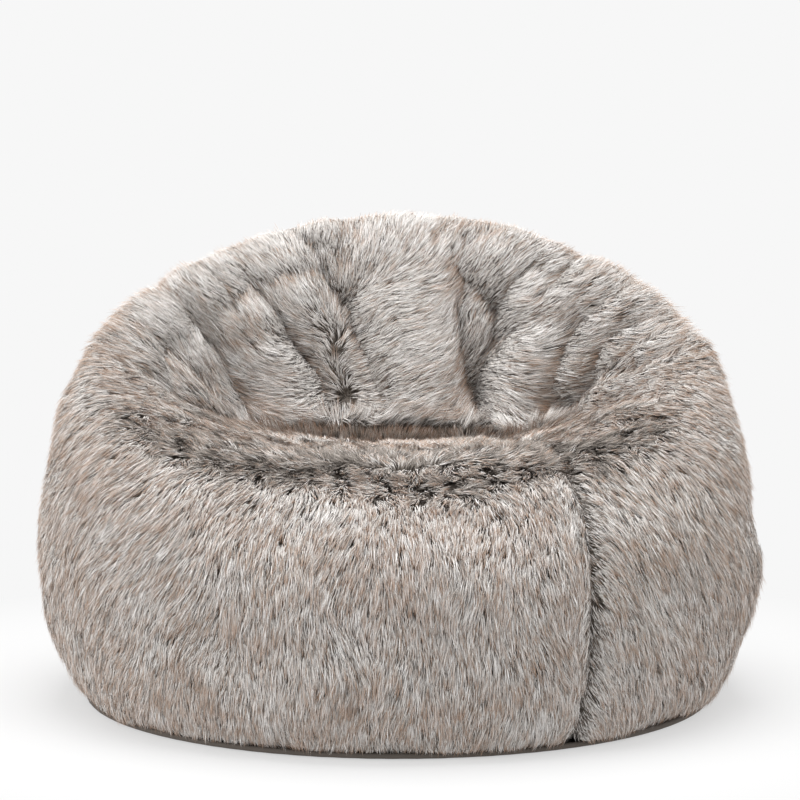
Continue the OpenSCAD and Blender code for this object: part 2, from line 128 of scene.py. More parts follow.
@dataclass(frozen=True)
class BagForm:
    """The outer surface of the bag over its pile, the same as the frame's.

    v runs from 0 at the ground to 1 at the belly, 2 at the crown and 3 at the fold of the seat.
    Angles are in degrees from the front, towards +X.
    """

    width: float
    depth: float
    back_h: float
    front_h: float = 0.365
    belly_z: float = 0.175
    base_r: float = 0.42
    crevice_w: float = 0.38
    crevice_y: float = 0.10
    crevice_z: float = 0.34
    crevice_slit: float = 0.002
    slope_power: float = 1.8
    crown_front: float = 0.56
    crown_side: float = 0.69
    crown_back: float = 0.53
    crown_rise: float = 1.32
    circle_top_z: float = 0.045
    circle_fade_z: float = 0.09
    fold_blend: float = 0.045

    @property
    def mean_r(self) -> float:
        """Mean radius of the belly."""
        return (self.width + self.depth) / 4

    def belly(self, phi: Array) -> Array:
        """Plan of the belly, at its widest."""
        a = np.radians(phi)
        return np.stack([self.width / 2 * np.sin(a), -self.depth / 2 * np.cos(a)], -1)

    def fold(self, phi: Array) -> Array:
        """Plan of the fold where the seat meets the back."""
        a = np.radians(phi)
        y = self.crevice_y - self.crevice_slit / 2 * np.cos(a)
        return np.stack([self.crevice_w / 2 * np.sin(a), y], -1)

    def crown_z(self, phi: Array) -> Array:
        """Height of the crown, which climbs from the lip to the back."""
        share = ((1 - np.cos(np.radians(phi))) / 2) ** self.crown_rise
        return lerp(self.front_h, self.back_h, share)

    def crown_share(self, phi: Array) -> Array:
        """How far out the crown lies between the fold and the belly."""
        a = np.radians(phi)
        mid = (self.crown_front + self.crown_back) / 2
        swing = (self.crown_front - self.crown_back) / 2
        return mid + swing * np.cos(a) + (self.crown_side - mid) * np.sin(a) ** 2

    def skin(self, phi: Array, v: Array) -> Array:
        """Points of the surface.

        Args:
            phi: Angles round the bag, in degrees.
            v: Place along the profile, 0 to 3, of the same shape.

        Returns:
            Points in metres, x, y and z along the last axis.
        """
        a = np.radians(phi)
        ray = np.stack([np.sin(a), -np.cos(a)], -1)
        fold, belly = self.fold(phi), self.belly(phi)
        crown, share = self.crown_z(phi), self.crown_share(phi)[..., None]

        low = np.clip(v, 0, 1) * math.pi / 2
        z_low = self.belly_z * (1 - np.cos(low))
        out = ease((z_low - self.circle_top_z) / self.circle_fade_z)[..., None]
        wide = lerp(self.mean_r * ray, belly, out)
        xy_low = lerp(self.base_r * ray, wide, np.sin(low)[..., None])

        up = (np.clip(v, 1, 2) - 1) * math.pi / 2
        xy_up = lerp(fold, belly, share + (1 - share) * np.cos(up)[..., None])
        z_up = lerp(self.belly_z, crown, np.sin(up))

        s = np.clip(3 - v, 0, 1)
        xy_in = lerp(fold, belly, share * s[..., None])
        z_in = lerp(self.crevice_z, crown, 1 - (1 - s) ** self.slope_power)

        xy = np.where((v <= 1)[..., None], xy_low, np.where((v <= 2)[..., None], xy_up, xy_in))
        z = np.where(v <= 1, z_low, np.where(v <= 2, z_up, z_in))
        return np.concatenate([xy, z[..., None]], -1)

    def girth_step(self, phi: Array, v: Array) -> Array:
        """The way that one degree round the bag covers, towards higher angles."""
        return self.skin(phi + 0.5, v) - self.skin(phi - 0.5, v)

    def normal(self, phi: Array, v: Array) -> Array:
        """Outward normals, which turn upright close to the fold.

        Args:
            phi: Angles round the bag, in degrees.
            v: Places along the profile.

        Returns:
            Vectors of length one.
        """
        dv = 0.004
        along = self.girth_step(phi, v)
        rise = self.skin(phi, np.minimum(3, v + dv)) - self.skin(phi, np.maximum(0, v - dv))
        n = unit(np.cross(along, rise))
        near = np.linalg.norm(self.skin(phi, v)[..., :2] - self.fold(phi), axis=-1)
        k = np.where(v <= 2, 1.0, ease(near / self.fold_blend))[..., None]
        return unit(lerp(np.array([0.0, 0.0, 1.0]), n, k))

    def hem_v(self, z: float) -> float:
        """Place along the profile of a height on the lower wall."""
        return math.degrees(math.acos(1 - z / self.belly_z)) / 90


class Seam(Enum):
    """The six seams that climb the wall, counted from the front right one."""

    FRONT_RIGHT = 0
    RIGHT = 1
    REAR_RIGHT = 2
    REAR_LEFT = 3
    LEFT = 4
    FRONT_LEFT = 5


@dataclass(frozen=True)
class SeamPlan:
    """Where the seams run."""

    rear: float = 150.0
    cap_v: float = 2.4
    top_right: float = 163.0
    low_right: float = 153.0
    top_left: float = 197.0
    low_left: float = 207.0

    def rear_edge(self, v: Array, top: float, low: float, rear: float) -> Array:
        """A rear seam, which leans in over the rim to the cap's corner and runs down its side."""
        lean = lerp(rear, top, ease((v - 2) / (self.cap_v - 2)))
        down = lerp(top, low, np.clip((v - self.cap_v) / (3 - self.cap_v), 0, 1))
        return np.where(v < 2, rear, np.where(v < self.cap_v, lean, down))

    def angle(self, seam: Seam, v: Array) -> Array:
        """Angle of a seam at each place along the profile."""
        if seam is Seam.REAR_RIGHT:
            return self.rear_edge(v, self.top_right, self.low_right, self.rear)
        if seam is Seam.REAR_LEFT:
            return self.rear_edge(v, self.top_left, self.low_left, 360 - self.rear)
        return np.full_like(v, 30.0 + 60.0 * seam.value)


# ---------------------------------------------------------------- folds and combing


@dataclass(frozen=True)
class Crease:
    """A fold pressed into the cover along a path of (angle, v) points, shallow end first."""

    path: tuple[tuple[float, float], ...]
    depth: float = 0.0
    width: float = 0.015
    swell: float = 0.32

    def line(self, form: BagForm, steps: int = 8) -> Array:
        """Points along the fold on the undented surface."""
        pts = np.array(self.path)
        t = np.linspace(0, len(pts) - 1, steps * (len(pts) - 1) + 1)
        phi = np.interp(t, np.arange(len(pts)), pts[:, 0])
        v = np.interp(t, np.arange(len(pts)), pts[:, 1])
        return form.skin(phi, v)

    def reach(self, form: BagForm, p: Array, phi: Array) -> tuple[Array, Array]:
        """Distance from each point to the fold, and how far along it the nearest place lies.

        Args:
            form: The bag's surface.
            p: Points on it.
            phi: Their angles, which keep the fold off the bag's other side.

        Returns:
            The distances in metres and the places from 0 to 1.
        """
        line = self.line(form)
        best, where = np.full(p.shape[:-1], 9.0), np.zeros(p.shape[:-1])
        count = len(line) - 1
        for i in range(count):
            start, d = line[i], line[i + 1] - line[i]
            t = np.clip(((p - start) @ d) / max(d @ d, 1e-12), 0, 1)
            far = np.linalg.norm(p - start - t[..., None] * d, axis=-1)
            closer = far < best
            best, where = np.where(closer, far, best), np.where(closer, (i + t) / count, where)
        mean = float(np.mean([q[0] for q in self.path]))
        off = np.abs(signed(phi - mean))
        return best + np.where(off > 75, 1.0, 0.0), where


CREASES: tuple[Crease, ...] = (
    # left arm: the long fold that parts the arm from the back, and the roll beside it
    Crease(
        ((-116.8, 2.13), (-116.8, 2.35), (-117.5, 2.49), (-117.2, 2.64), (-116.2, 2.78), (-114, 2.91)),
        0.050,
        0.026,
    ),
    Crease(((-99.8, 2.13), (-101.2, 2.37), (-97.8, 2.56), (-99.2, 2.72)), 0.022, 0.020),
    # left back: folds over the rim, the shelf under them and the valley beside the cap
    Crease(((-128.2, 2.03), (-130, 2.26), (-130, 2.44), (-130.2, 2.51)), 0.022, 0.014),
    Crease(((-136.8, 2.21), (-137.8, 2.34), (-139.5, 2.50), (-143.5, 2.62), (-147.5, 2.71)), 0.036, 0.016),
    Crease(((-152.2, 2.13), (-156.2, 2.26), (-159.2, 2.45), (-160, 2.55)), 0.030, 0.016),
    Crease(((-166.2, 2.10), (-163.8, 2.27), (-164, 2.41)), 0.016, 0.012),
    Crease(((-170.5, 2.13), (-168.5, 2.27)), 0.012, 0.011),
    Crease(((-118.2, 2.59), (-127, 2.61), (-141.8, 2.67), (-147.2, 2.72)), 0.007, 0.018),
    Crease(((-149.5, 2.66), (-149, 2.75), (-153, 2.84), (-158.8, 2.91)), 0.031, 0.016),
    # cap: its left edge, its bowed right edge and the top edge
    Crease(
        ((-172, 2.45), (-162, 2.56), (-163, 2.70), (-166, 2.79), (-169.2, 2.86), (-173.8, 2.93)),
        0.022,
        0.015,
    ),
    Crease(
        ((165.8, 2.40), (162.5, 2.56), (159.5, 2.72), (156, 2.83), (151.2, 2.90), (152.8, 2.94)),
        0.030,
        0.017,
    ),
    Crease(((-159.8, 2.50), (-168.5, 2.43), (-179.8, 2.40), (166, 2.38)), 0.018, 0.014),
    Crease(((169.2, 2.17), (170.2, 2.32)), 0.012, 0.011),
    Crease(((161.5, 2.17), (163.2, 2.31)), 0.014, 0.011),
    # right back: the dark pocket and the fan of folds that runs out over the arm
    Crease(
        ((163, 2.45), (157, 2.49), (150.5, 2.55), (148.5, 2.66), (150, 2.77), (152.2, 2.89)),
        0.050,
        0.020,
    ),
    Crease(((142, 2.22), (143.2, 2.30), (146.8, 2.42), (150.2, 2.54)), 0.024, 0.014),
    Crease(((133.8, 2.03), (135.2, 2.14), (136.2, 2.32), (137.8, 2.45)), 0.022, 0.014),
    Crease(((131, 2.52), (141.5, 2.62), (146.8, 2.70)), 0.016, 0.016),
    Crease(
        ((118, 2.12), (118.5, 2.22), (121.8, 2.41), (123.2, 2.58), (121.5, 2.73), (120, 2.84)),
        0.034,
        0.015,
    ),
    Crease(
        (
            (103.2, 2.00),
            (105.8, 2.13),
            (109.2, 2.29),
            (110.8, 2.44),
            (110, 2.62),
            (107.5, 2.77),
            (112.8, 2.87),
        ),
        0.044,
        0.017,
    ),
    Crease(((97, 2.02), (99.8, 2.24), (100, 2.45), (102.8, 2.63), (103.2, 2.81)), 0.036, 0.015),
    Crease(((86.2, 2.00), (88, 2.14), (87.8, 2.37), (93.8, 2.56), (97.2, 2.70)), 0.026, 0.016),
    Crease(((66, 2.00), (66.8, 2.24), (70.5, 2.49), (81.8, 2.80)), 0.018, 0.016),
    # arms and lip
    Crease(((-86, 2.00), (-78, 2.40), (-74, 2.78)), 0.014, 0.022),
    Crease(((31, 2.08), (46, 2.05), (66, 1.90)), 0.012, 0.018),
    Crease(((-24, 2.20), (-40, 2.16), (-56, 2.12)), 0.010, 0.018),
)

LIP_CURLS = Crease(
    ((-56, 1.88), (-30, 1.80), (-12, 1.73), (0, 1.65), (10, 1.67), (30, 1.82), (54, 1.85)),
    width=0.032,
)

SEAM_OPEN: dict[Seam, float] = {
    Seam.FRONT_RIGHT: 1.0,
    Seam.RIGHT: 0.6,
    Seam.REAR_RIGHT: 0.6,
    Seam.REAR_LEFT: 0.6,
    Seam.LEFT: 0.6,
    Seam.FRONT_LEFT: 0.05,
}


@dataclass(frozen=True)
class Brush:
    """A stroke of the brush: the way the pile lies round one place, as seen from the front."""

    phi: float
    v: float
    right: float
    up: float
    reach: float = 0.065


BRUSHES: tuple[Brush, ...] = (
    # rim and inner back, from left to right
    Brush(-128, 2.22, -0.77, 0.64),
    Brush(-150, 2.26, -0.50, 0.87),
    Brush(-165, 2.28, -0.10, 1.00, 0.05),
    Brush(-172, 2.33, 0.45, 0.88, 0.04),
    Brush(177, 2.27, 0.50, 0.85, 0.04),
    Brush(167, 2.25, 0.50, 0.87, 0.05),
    Brush(159, 2.30, 0.60, 0.80, 0.05),
    Brush(144, 2.37, 0.82, 0.57),
    Brush(129, 2.42, 0.90, 0.45),
    Brush(113, 2.39, 0.97, 0.25),
    Brush(128, 2.60, 0.95, 0.20, 0.05),
    Brush(110, 2.73, 1.00, 0.05, 0.05),
    Brush(133, 2.74, 0.90, -0.30, 0.045),
    Brush(137, 2.92, 0.45, -0.90, 0.045),
    Brush(152, 2.67, 0.20, 1.00, 0.03),
    # cap
    Brush(176, 2.55, 1.00, 0.04, 0.045),
    Brush(176, 2.74, 1.00, 0.00, 0.045),
    Brush(176, 2.92, 1.00, 0.00, 0.045),
    # left of the cap, on both sides of the valley
    Brush(-148, 2.73, -1.00, 0.00, 0.04),
    Brush(-146, 2.86, -0.90, -0.45, 0.04),
    Brush(-163, 2.60, 0.90, 0.10, 0.03),
    Brush(-162, 2.76, 1.00, -0.10, 0.03),
    Brush(-164, 2.90, 0.85, -0.50, 0.03),
    Brush(-118, 2.85, -0.90, 0.20, 0.045),
    # arms
    Brush(-100, 2.61, -0.60, 0.80, 0.05),
    Brush(-112, 2.38, -0.72, 0.70, 0.05),
    Brush(-67, 2.03, -1.00, 0.00),
    Brush(-48, 2.32, -1.00, 0.00),
    Brush(-70, 1.59, -0.50, -0.85),
    Brush(94, 2.29, 1.00, 0.08),
    Brush(71, 2.17, 1.00, -0.12),
    Brush(52, 1.95, 0.93, -0.36),
    Brush(67, 1.83, 0.85, -0.53),
    # lip: above its line of curls the pile is brushed back, towards the seat
    Brush(-36, 2.00, -0.80, 0.50, 0.05),
    Brush(-18, 1.98, -0.45, 0.85, 0.06),
    Brush(0, 1.97, -0.10, 1.00, 0.06),
    Brush(18, 1.98, 0.40, 0.85, 0.06),
    Brush(36, 2.00, 0.80, 0.50, 0.05),
    Brush(-20, 2.40, 0.00, -1.00, 0.09),
    Brush(20, 2.40, 0.00, -1.00, 0.09),
    # front wall
    Brush(-46, 1.68, -0.85, -0.55),
    Brush(-31, 1.65, -0.75, -0.65, 0.05),
    Brush(-40, 1.31, -0.68, -0.73),
    Brush(-38, 0.91, -0.42, -0.90),
    Brush(-11, 1.26, -0.20, -0.98),
    Brush(0, 1.10, 0.00, -1.00),
    Brush(12, 1.26, 0.12, -1.00),
    Brush(21, 1.33, 0.20, -1.00, 0.04),
    Brush(38, 1.58, 0.60, -0.80, 0.05),
    Brush(43, 1.48, 0.50, -0.87),
    Brush(41, 0.86, 0.25, -0.97),
)


# ---------------------------------------------------------------- the inflated cover


@dataclass
class Inflation:
    """A cloth simulation of the slack cover, blown up between its pinned folds and seams.

    The cover's cloth is a little larger than the form, so it puffs out and wrinkles round the
    places that are pinned. Only the relief of the puffs and wrinkles is kept.
    """

    form: BagForm
    around: int = 160
    along: int = 96
    start: float = 0.30
    stop: float = 2.985
    frames: int = 24
    pressure: float = 2.2
    slack: float = 0.055
    limit: float = 0.010
    relief: Array = field(default_factory=lambda: np.zeros((1, 1)))

    def grid(self) -> tuple[Array, Array]:
        """Angles and v of the simulated points."""
        phi = np.arange(self.around) * 360.0 / self.around
        v = np.linspace(self.start, self.stop, self.along)
        return tuple(np.meshgrid(phi, v, indexing="ij"))

    def run(self, dent: Array, pin: Array) -> None:
        """Runs the simulation and keeps its relief.

        Args:
            dent: Height of the folds over the form at each point of the grid.
            pin: How firmly each point is held, 0 to 1.
        """
        phi, v = self.grid()
        up = self.form.normal(phi, v)
        rest = self.form.skin(phi, v) + up * dent[..., None]
        obj = self._cloth_object(rest, pin)
        scene = bpy.context.scene
        for frame_number in range(1, self.frames + 1):
            scene.frame_set(frame_number)
        shape = obj.evaluated_get(bpy.context.evaluated_depsgraph_get()).to_mesh()
        co = np.empty(len(shape.vertices) * 3, dtype=np.float32)
        shape.vertices.foreach_get("co", co)
        moved = np.sum((co.reshape(rest.shape) - rest) * up, -1)
        mesh = obj.data
        bpy.data.objects.remove(obj)
        bpy.data.meshes.remove(mesh)
        scene.frame_set(1)
        local = moved - self._smooth(moved, 14)
        self.relief = self.limit * np.tanh(self._smooth(local, 1) / self.limit)
        log.info("cloth relief: %.1f mm rms", float(self.relief.std() * 1000))

    def _cloth_object(self, rest: Array, pin: Array) -> bpy.types.Object:
        """Makes the closed band of cloth with its pins and settings."""
        n, m = rest.shape[:2]
        idx = np.arange(n * m).reshape(n, m)
        nxt = np.roll(idx, -1, axis=0)
        quads = np.stack([idx[:, :-1], nxt[:, :-1], nxt[:, 1:], idx[:, 1:]], -1).reshape(-1, 4)
        mesh = bpy.data.meshes.new("cover_cloth")
        mesh.from_pydata(rest.reshape(-1, 3).tolist(), [], quads.tolist())
        obj = bpy.data.objects.new("cover_cloth", mesh)
        bpy.context.scene.collection.objects.link(obj)
        group = obj.vertex_groups.new(name="pin")
        for number, weight in enumerate(pin.ravel()):
            if weight > 0.02:
                group.add([number], float(weight), "REPLACE")
        cloth = obj.modifiers.new("cloth", "CLOTH")
        settings = cloth.settings
        settings.quality = 5
        settings.mass = 0.3
        settings.air_damping = 5.0
        settings.tension_stiffness = 15.0
        settings.compression_stiffness = 15.0
        settings.shear_stiffness = 5.0
        settings.bending_stiffness = 0.4
        settings.use_pressure = True
        settings.uniform_pressure_force = self.pressure
        settings.shrink_min = -self.slack
        settings.vertex_group_mass = "pin"
        settings.effector_weights.gravity = 0.0
        cloth.collision_settings.use_collision = False
        cloth.point_cache.frame_start = 1
        cloth.point_cache.frame_end = self.frames
        return obj

    @staticmethod
    def _smooth(grid: Array, passes: int) -> Array:
        """Averages each point with its neighbours, again and again."""
        out = grid
        for _ in range(passes):
            out = (np.roll(out, 1, 0) + np.roll(out, -1, 0) + 2 * out) / 4
            wide = np.pad(out, ((0, 0), (1, 1)), mode="edge")
            out = (wide[:, :-2] + wide[:, 2:] + 2 * out) / 4
        return out

    def at(self, phi: Array, v: Array) -> Array:
        """Reads the relief anywhere on the cover."""
        if self.relief.size == 1:
            return np.zeros(phi.shape)
        s = (phi % 360.0) * self.around / 360.0
        t = np.clip((v - self.start) / (self.stop - self.start), 0, 1) * (self.along - 1.001)
        i, j = np.floor(s).astype(int) % self.around, np.floor(t).astype(int)
        fs, ft = s - np.floor(s), t - np.floor(t)
        k = (i + 1) % self.around
        near = lerp(self.relief[i, j], self.relief[i, j + 1], ft)
        far = lerp(self.relief[k, j], self.relief[k, j + 1], ft)
        return lerp(near, far, fs) * ease((v - self.start) / 0.3)


# ---------------------------------------------------------------- the cover's surface


@dataclass
class Surface:
    """A patch of the cover, sampled on a grid of columns and stations.

    crease and seam are masks of the folds and seams, line marks each fold's middle and ahead marks
    where the pile's tips reach a fold. drop is how far the tips sink to follow the surface.
    """

    phi: Array
    v: Array
    root: Array
    normal: Array
    comb: Array
    crease: Array
    line: Array
    ahead: Array
    drop: Array
    seam: Array
    ruffle: Array


@dataclass
class Cover:
    """Shapes the layers of the bag under the pile and combs the pile over it."""

    form: BagForm
    seams: SeamPlan
    root_depth: float = 0.017
    seam_depth: float = 0.013
    seam_width: float = 0.006
    roll: float = 0.0022
    tip_reach: float = 0.026
    line_width: float = 0.0065
    full_depth: float = 0.030
    deepest: float = 0.060
    inflation: Inflation = field(init=False)

    def __post_init__(self) -> None:
        """Prepares the simulation, which has yet to run."""
        self.inflation = Inflation(self.form)

    def inflate(self) -> None:
        """Runs the cloth simulation over the folds and seams."""
        phi, v = self.inflation.grid()
        p = self.form.skin(phi, v)
        dent, crease, _ = self.folds(p, phi)
        seam = self._seams(phi, v, p)[0]
        edge = np.maximum(ease((self.inflation.start + 0.1 - v) / 0.1), ease((v - 2.93) / 0.05))
        pin = np.clip(np.maximum(np.maximum(crease, 0.9 * seam), edge), 0, 1)
        self.inflation.run(dent - self.seam_depth * seam, pin)

    def folds(self, p: Array, phi: Array, soft: float = 1.0) -> tuple[Array, Array, Array]:
        """Height of the folds and the swells beside them, and a mask of the folds.

        Args:
            p: Points on the undented surface.
            phi: Their angles.
            soft: Over 1, the folds get wider and rounder, for the layers inside.

        Returns:
            Heights in metres, below 0 in a fold, a mask from 0 to 1, and a narrow mask of its line.
        """
        dent, mask, line = np.zeros(phi.shape), np.zeros(phi.shape), np.zeros(phi.shape)
        for fold in CREASES:
            far, where = fold.reach(self.form, p, phi)
            reach = far / (fold.width * soft)
            sharp = 0.25 * soft**2
            groove = np.exp(-1.3 * (np.sqrt(reach**2 + sharp**2) - sharp))
            swell = fold.swell * np.exp(-(((reach - 2.3) / 1.0) ** 2))
            fade = lerp(0.15, 1.0, ease(where / 0.35))
            dent += fade * (0.45 * fold.depth * swell - fold.depth * groove)
            mask = np.maximum(mask, groove * fade * min(1.0, fold.depth / self.full_depth))
            strong = lerp(0.7, 1.0, ease(where / 0.3)) * min(1.0, 0.35 + fold.depth / self.full_depth)
            line = np.maximum(line, np.exp(-((far / self.line_width) ** 2)) * strong)
        return np.maximum(dent, -self.deepest), mask, line

    def sample(self, phi: Array, v: Array, depth: float, soft: float = 1.0) -> Array:
        """Points of a layer at some depth under the pile's tips.

        Args:
            phi: Angles.
            v: Places along the profile.
            depth: Depth of the layer.
            soft: How much rounder the folds are there than in the cover.

        Returns:
            Points in metres.
        """
        p, up = self.form.skin(phi, v), self.form.normal(phi, v)
        dent = self.folds(p, phi, soft)[0] + self._rolls(p) + self.inflation.at(phi, v) / soft
        if soft == 1.0:
            dent = dent - self.seam_depth * self._seams(phi, v, p)[0]
        return p + up * (dent - depth)[..., None]

    def _rolls(self, p: Array) -> Array:
        """Low bumps of the beads under the cover."""
        return self.roll * (noise(p, 0.10, 3) + 0.4 * noise(p, 0.045, 4))

    def surface(self, left: Seam, right: Seam, start: float, stop: float, n: int, m: int) -> Surface:
        """Samples the panel between two seams.

        Args:
            left: Seam at the lower angle.
            right: Seam at the higher angle.
            start: First place along the profile.
            stop: Last place along the profile.
            n: Columns across the panel.
            m: Stations along it.

        Returns:
            The sampled patch.
        """
        rows = np.linspace(start, stop, m)
        low = self.seams.angle(left, rows) - (360.0 if left.value > right.value else 0.0)
        high = self.seams.angle(right, rows)
        share = np.linspace(0.0, 1.0, n)[:, None]
        phi = lerp(low[None, :], high[None, :], share)
        v = np.broadcast_to(rows, phi.shape).copy()
        p, up = self.form.skin(phi, v), self.form.normal(phi, v)
        side = unit(self.form.girth_step(phi, v))
        rise = unit(np.cross(up, side))

        fold, crease, line = self.folds(p, phi)
        seam, part = self._seams(phi, v, p)
        dent = fold + self._rolls(p) + self.inflation.at(phi, v) - self.seam_depth * seam
        high = bump(v, 2.0, 0.28) * ease((np.abs(signed(phi)) - 60) / 30)
        shut = ease((3.0 - v) / 0.16)
        root = p + up * ((dent - self.root_depth + 0.007 * high) * lerp(0.05, 1.0, shut))[..., None]
        around = grid_normals(root)
        near = ease((3.0 - v) / 0.06)[..., None]
        around = unit(lerp(up, around, 0.85 * near))

        ruffle = self._ruffle(phi, v, p)
        comb = self._comb(p, phi, v, side, rise, around, part, ruffle)
        tip_phi, tip_v, tip = self._tips(phi, v, p, comb, side, rise)
        tip_fold, _, ahead = self.folds(tip, tip_phi)
        drop = np.sum((tip - p - comb * self.tip_reach) * up, axis=-1)
        drop = np.clip(drop + 0.5 * np.clip(tip_fold - fold, -0.030, 0.012), -0.020, 0.014)
        drop = np.where(tip_v > 2.97, 0.0, drop)
        return Surface(phi, v, root, around, comb, crease, line, ahead, drop, seam, ruffle)

    def _tips(
        self,
        phi: Array,
        v: Array,
        p: Array,
        comb: Array,
        side: Array,
        rise: Array,
    ) -> tuple[Array, Array, Array]:
        """Where the tips of the pile come to lie on the undented surface.

        Args:
            phi: Angles of the roots.
            v: Their places along the profile.
            p: Their points on the undented surface.
            comb: The way the pile lies.
            side: The way round the bag.
            rise: The way up the profile.

        Returns:
            The tips' angles, their places along the profile and their points.
        """
        span = np.linalg.norm(self.form.girth_step(phi, v), axis=-1)
        back = np.maximum(v - 0.01, 0.0)
        climb = np.linalg.norm(p - self.form.skin(phi, back), axis=-1) / np.maximum(v - back, 1e-6)
        turn = np.sum(comb * side, axis=-1) * self.tip_reach / np.maximum(span, 1e-4)
        move = np.sum(comb * rise, axis=-1) * self.tip_reach / np.maximum(climb, 1e-3)
        tip_phi = phi + np.clip(turn, -12, 12)
        tip_v = np.clip(v + np.clip(move, -0.3, 0.3), 0.02, 2.99)
        return tip_phi, tip_v, self.form.skin(tip_phi, tip_v)

    def _seams(self, phi: Array, v: Array, p: Array) -> tuple[Array, Array]:
        """How deep each point sits in a seam, and how far its pile is parted to one side.

        Args:
            phi: Angles.
            v: Places along the profile.
            p: Points on the undented surface.

        Returns:
            A mask from 0 to 1, and a share from -1 to 1.
        """
        seam, part = np.zeros(phi.shape), np.zeros(phi.shape)
        for which, open_share in SEAM_OPEN.items():
            turn = signed(phi - self.seams.angle(which, v))
            span = np.linalg.norm(p[..., :2] - self.form.fold(phi), axis=-1)
            across = np.radians(turn) * np.where(v < 2, np.linalg.norm(p[..., :2], axis=-1), span)
            fade = open_share * lerp(0.4, 1.0, ease((2.0 - v) / 0.25))
            seam = np.maximum(seam, np.exp(-((across / self.seam_width) ** 2)) * fade)
            part += np.sign(turn) * np.exp(-((across / (3.2 * self.seam_width)) ** 2)) * fade
        return seam, part

    def _ruffle(self, phi: Array, v: Array, p: Array) -> Array:
        """Where the pile stands up in curls: along the front lip, and less on the seat behind it.

        Args:
            phi: Angles.
            v: Places along the profile.
            p: Points on the undented surface.

        Returns:
            A mask from 0 to 1.
        """
        far = LIP_CURLS.reach(self.form, p, phi)[0]
        turn = np.abs(signed(phi))
        lip = np.exp(-((far / LIP_CURLS.width) ** 2))
        seat = 0.5 * ease((v - 1.72) / 0.15) * ease((70 - turn) / 30) * ease((2.95 - v) / 0.3)
        return np.clip(np.maximum(lip, seat), 0, 1)

    def _comb(
        self,
        p: Array,
        phi: Array,
        v: Array,
        side: Array,
        rise: Array,
        up: Array,
        part: Array,
        ruffle: Array,
    ) -> Array:
        """Direction in which the pile lies flat on the surface.

        Args:
            p: Points on the undented surface.
            phi: Their angles.
            v: Their places along the profile.
            side: The way round the bag.
            rise: The way up the profile.
            up: Outward normals of the folded surface.
            part: How far the pile is parted at a seam, -1 to 1.
            ruffle: Where the pile stands up in curls.

        Returns:
            Vectors of length one.
        """
        turn = signed(phi)
        flank = np.sin(np.radians(np.clip(turn, -90, 90))) * ease((130 - np.abs(turn)) / 80)
        drift = flank * 0.35 * ease((np.abs(turn) - 4) / 30)
        total = (-rise + side * drift[..., None]) * 0.30
        across = np.where(up[..., 1] < 0, -1.0, 1.0) * np.maximum(np.abs(up[..., 1]), 0.30)
        for stroke in BRUSHES:
            spot = self.form.skin(np.array(stroke.phi), np.array(stroke.v))
            gap = np.linalg.norm(p - spot, axis=-1)
            near = np.exp(-((gap / stroke.reach) ** 2)) * np.exp(-(((v - stroke.v) / 0.6) ** 2))
            deep = -(stroke.right * up[..., 0] + stroke.up * up[..., 2]) / across
            way = np.stack([np.full(v.shape, stroke.right), deep, np.full(v.shape, stroke.up)], -1)
            total = total + unit(way) * near[..., None]
        flat = unit(total - up * np.sum(total * up, -1, keepdims=True))
        swirl = 0.11 * noise(p, 0.06, 11) + 0.07 * noise(p, 0.024, 12) + 0.07 * noise(p, 0.011, 14)
        swirl = swirl + 1.1 * ruffle * noise(p, 0.022, 13)
        flat = flat + np.cross(flat, up) * swirl[..., None] + side * (0.8 * part)[..., None]
        return unit(flat - up * np.sum(flat * up, -1, keepdims=True))


# ---------------------------------------------------------------- meshes


def fast_mesh(name: str, co: Array, tris: Array, uv: Array | None = None) -> bpy.types.Object:
    """Makes an object from arrays of triangles.

    Args:
        name: Name of the piece.
        co: Points, one row each.
        tris: Three point numbers a row.
        uv: Map position of every corner, in the order of tris.

    Returns:
        The linked object.
    """
    mesh = bpy.data.meshes.new(name)
    mesh.vertices.add(len(co))
    mesh.vertices.foreach_set("co", co.astype(np.float32).ravel())
    mesh.loops.add(tris.size)
    mesh.loops.foreach_set("vertex_index", tris.astype(np.int32).ravel())
    mesh.polygons.add(len(tris))
    mesh.polygons.foreach_set("loop_start", np.arange(0, tris.size, 3, dtype=np.int32))
    if uv is not None:
        layer = mesh.uv_layers.new(name=BAKE_UV)
        layer.data.foreach_set("uv", uv.astype(np.float32).ravel())
    mesh.update(calc_edges=True)
    mesh.polygons.foreach_set("use_smooth", np.ones(len(tris), dtype=bool))
    obj = bpy.data.objects.new(name, mesh)
    bpy.context.scene.collection.objects.link(obj)
    return obj


def quad_tris(a: Array, b: Array, c: Array, d: Array) -> Array:
    """Two triangles for each quad of point numbers."""
    return np.concatenate([np.stack([a, b, c], -1).reshape(-1, 3), np.stack([a, c, d], -1).reshape(-1, 3)])


def grid_normals(grid: Array) -> Array:
    """Normals of a grid of points."""
    return unit(np.cross(np.gradient(grid, axis=0), np.gradient(grid, axis=1)))


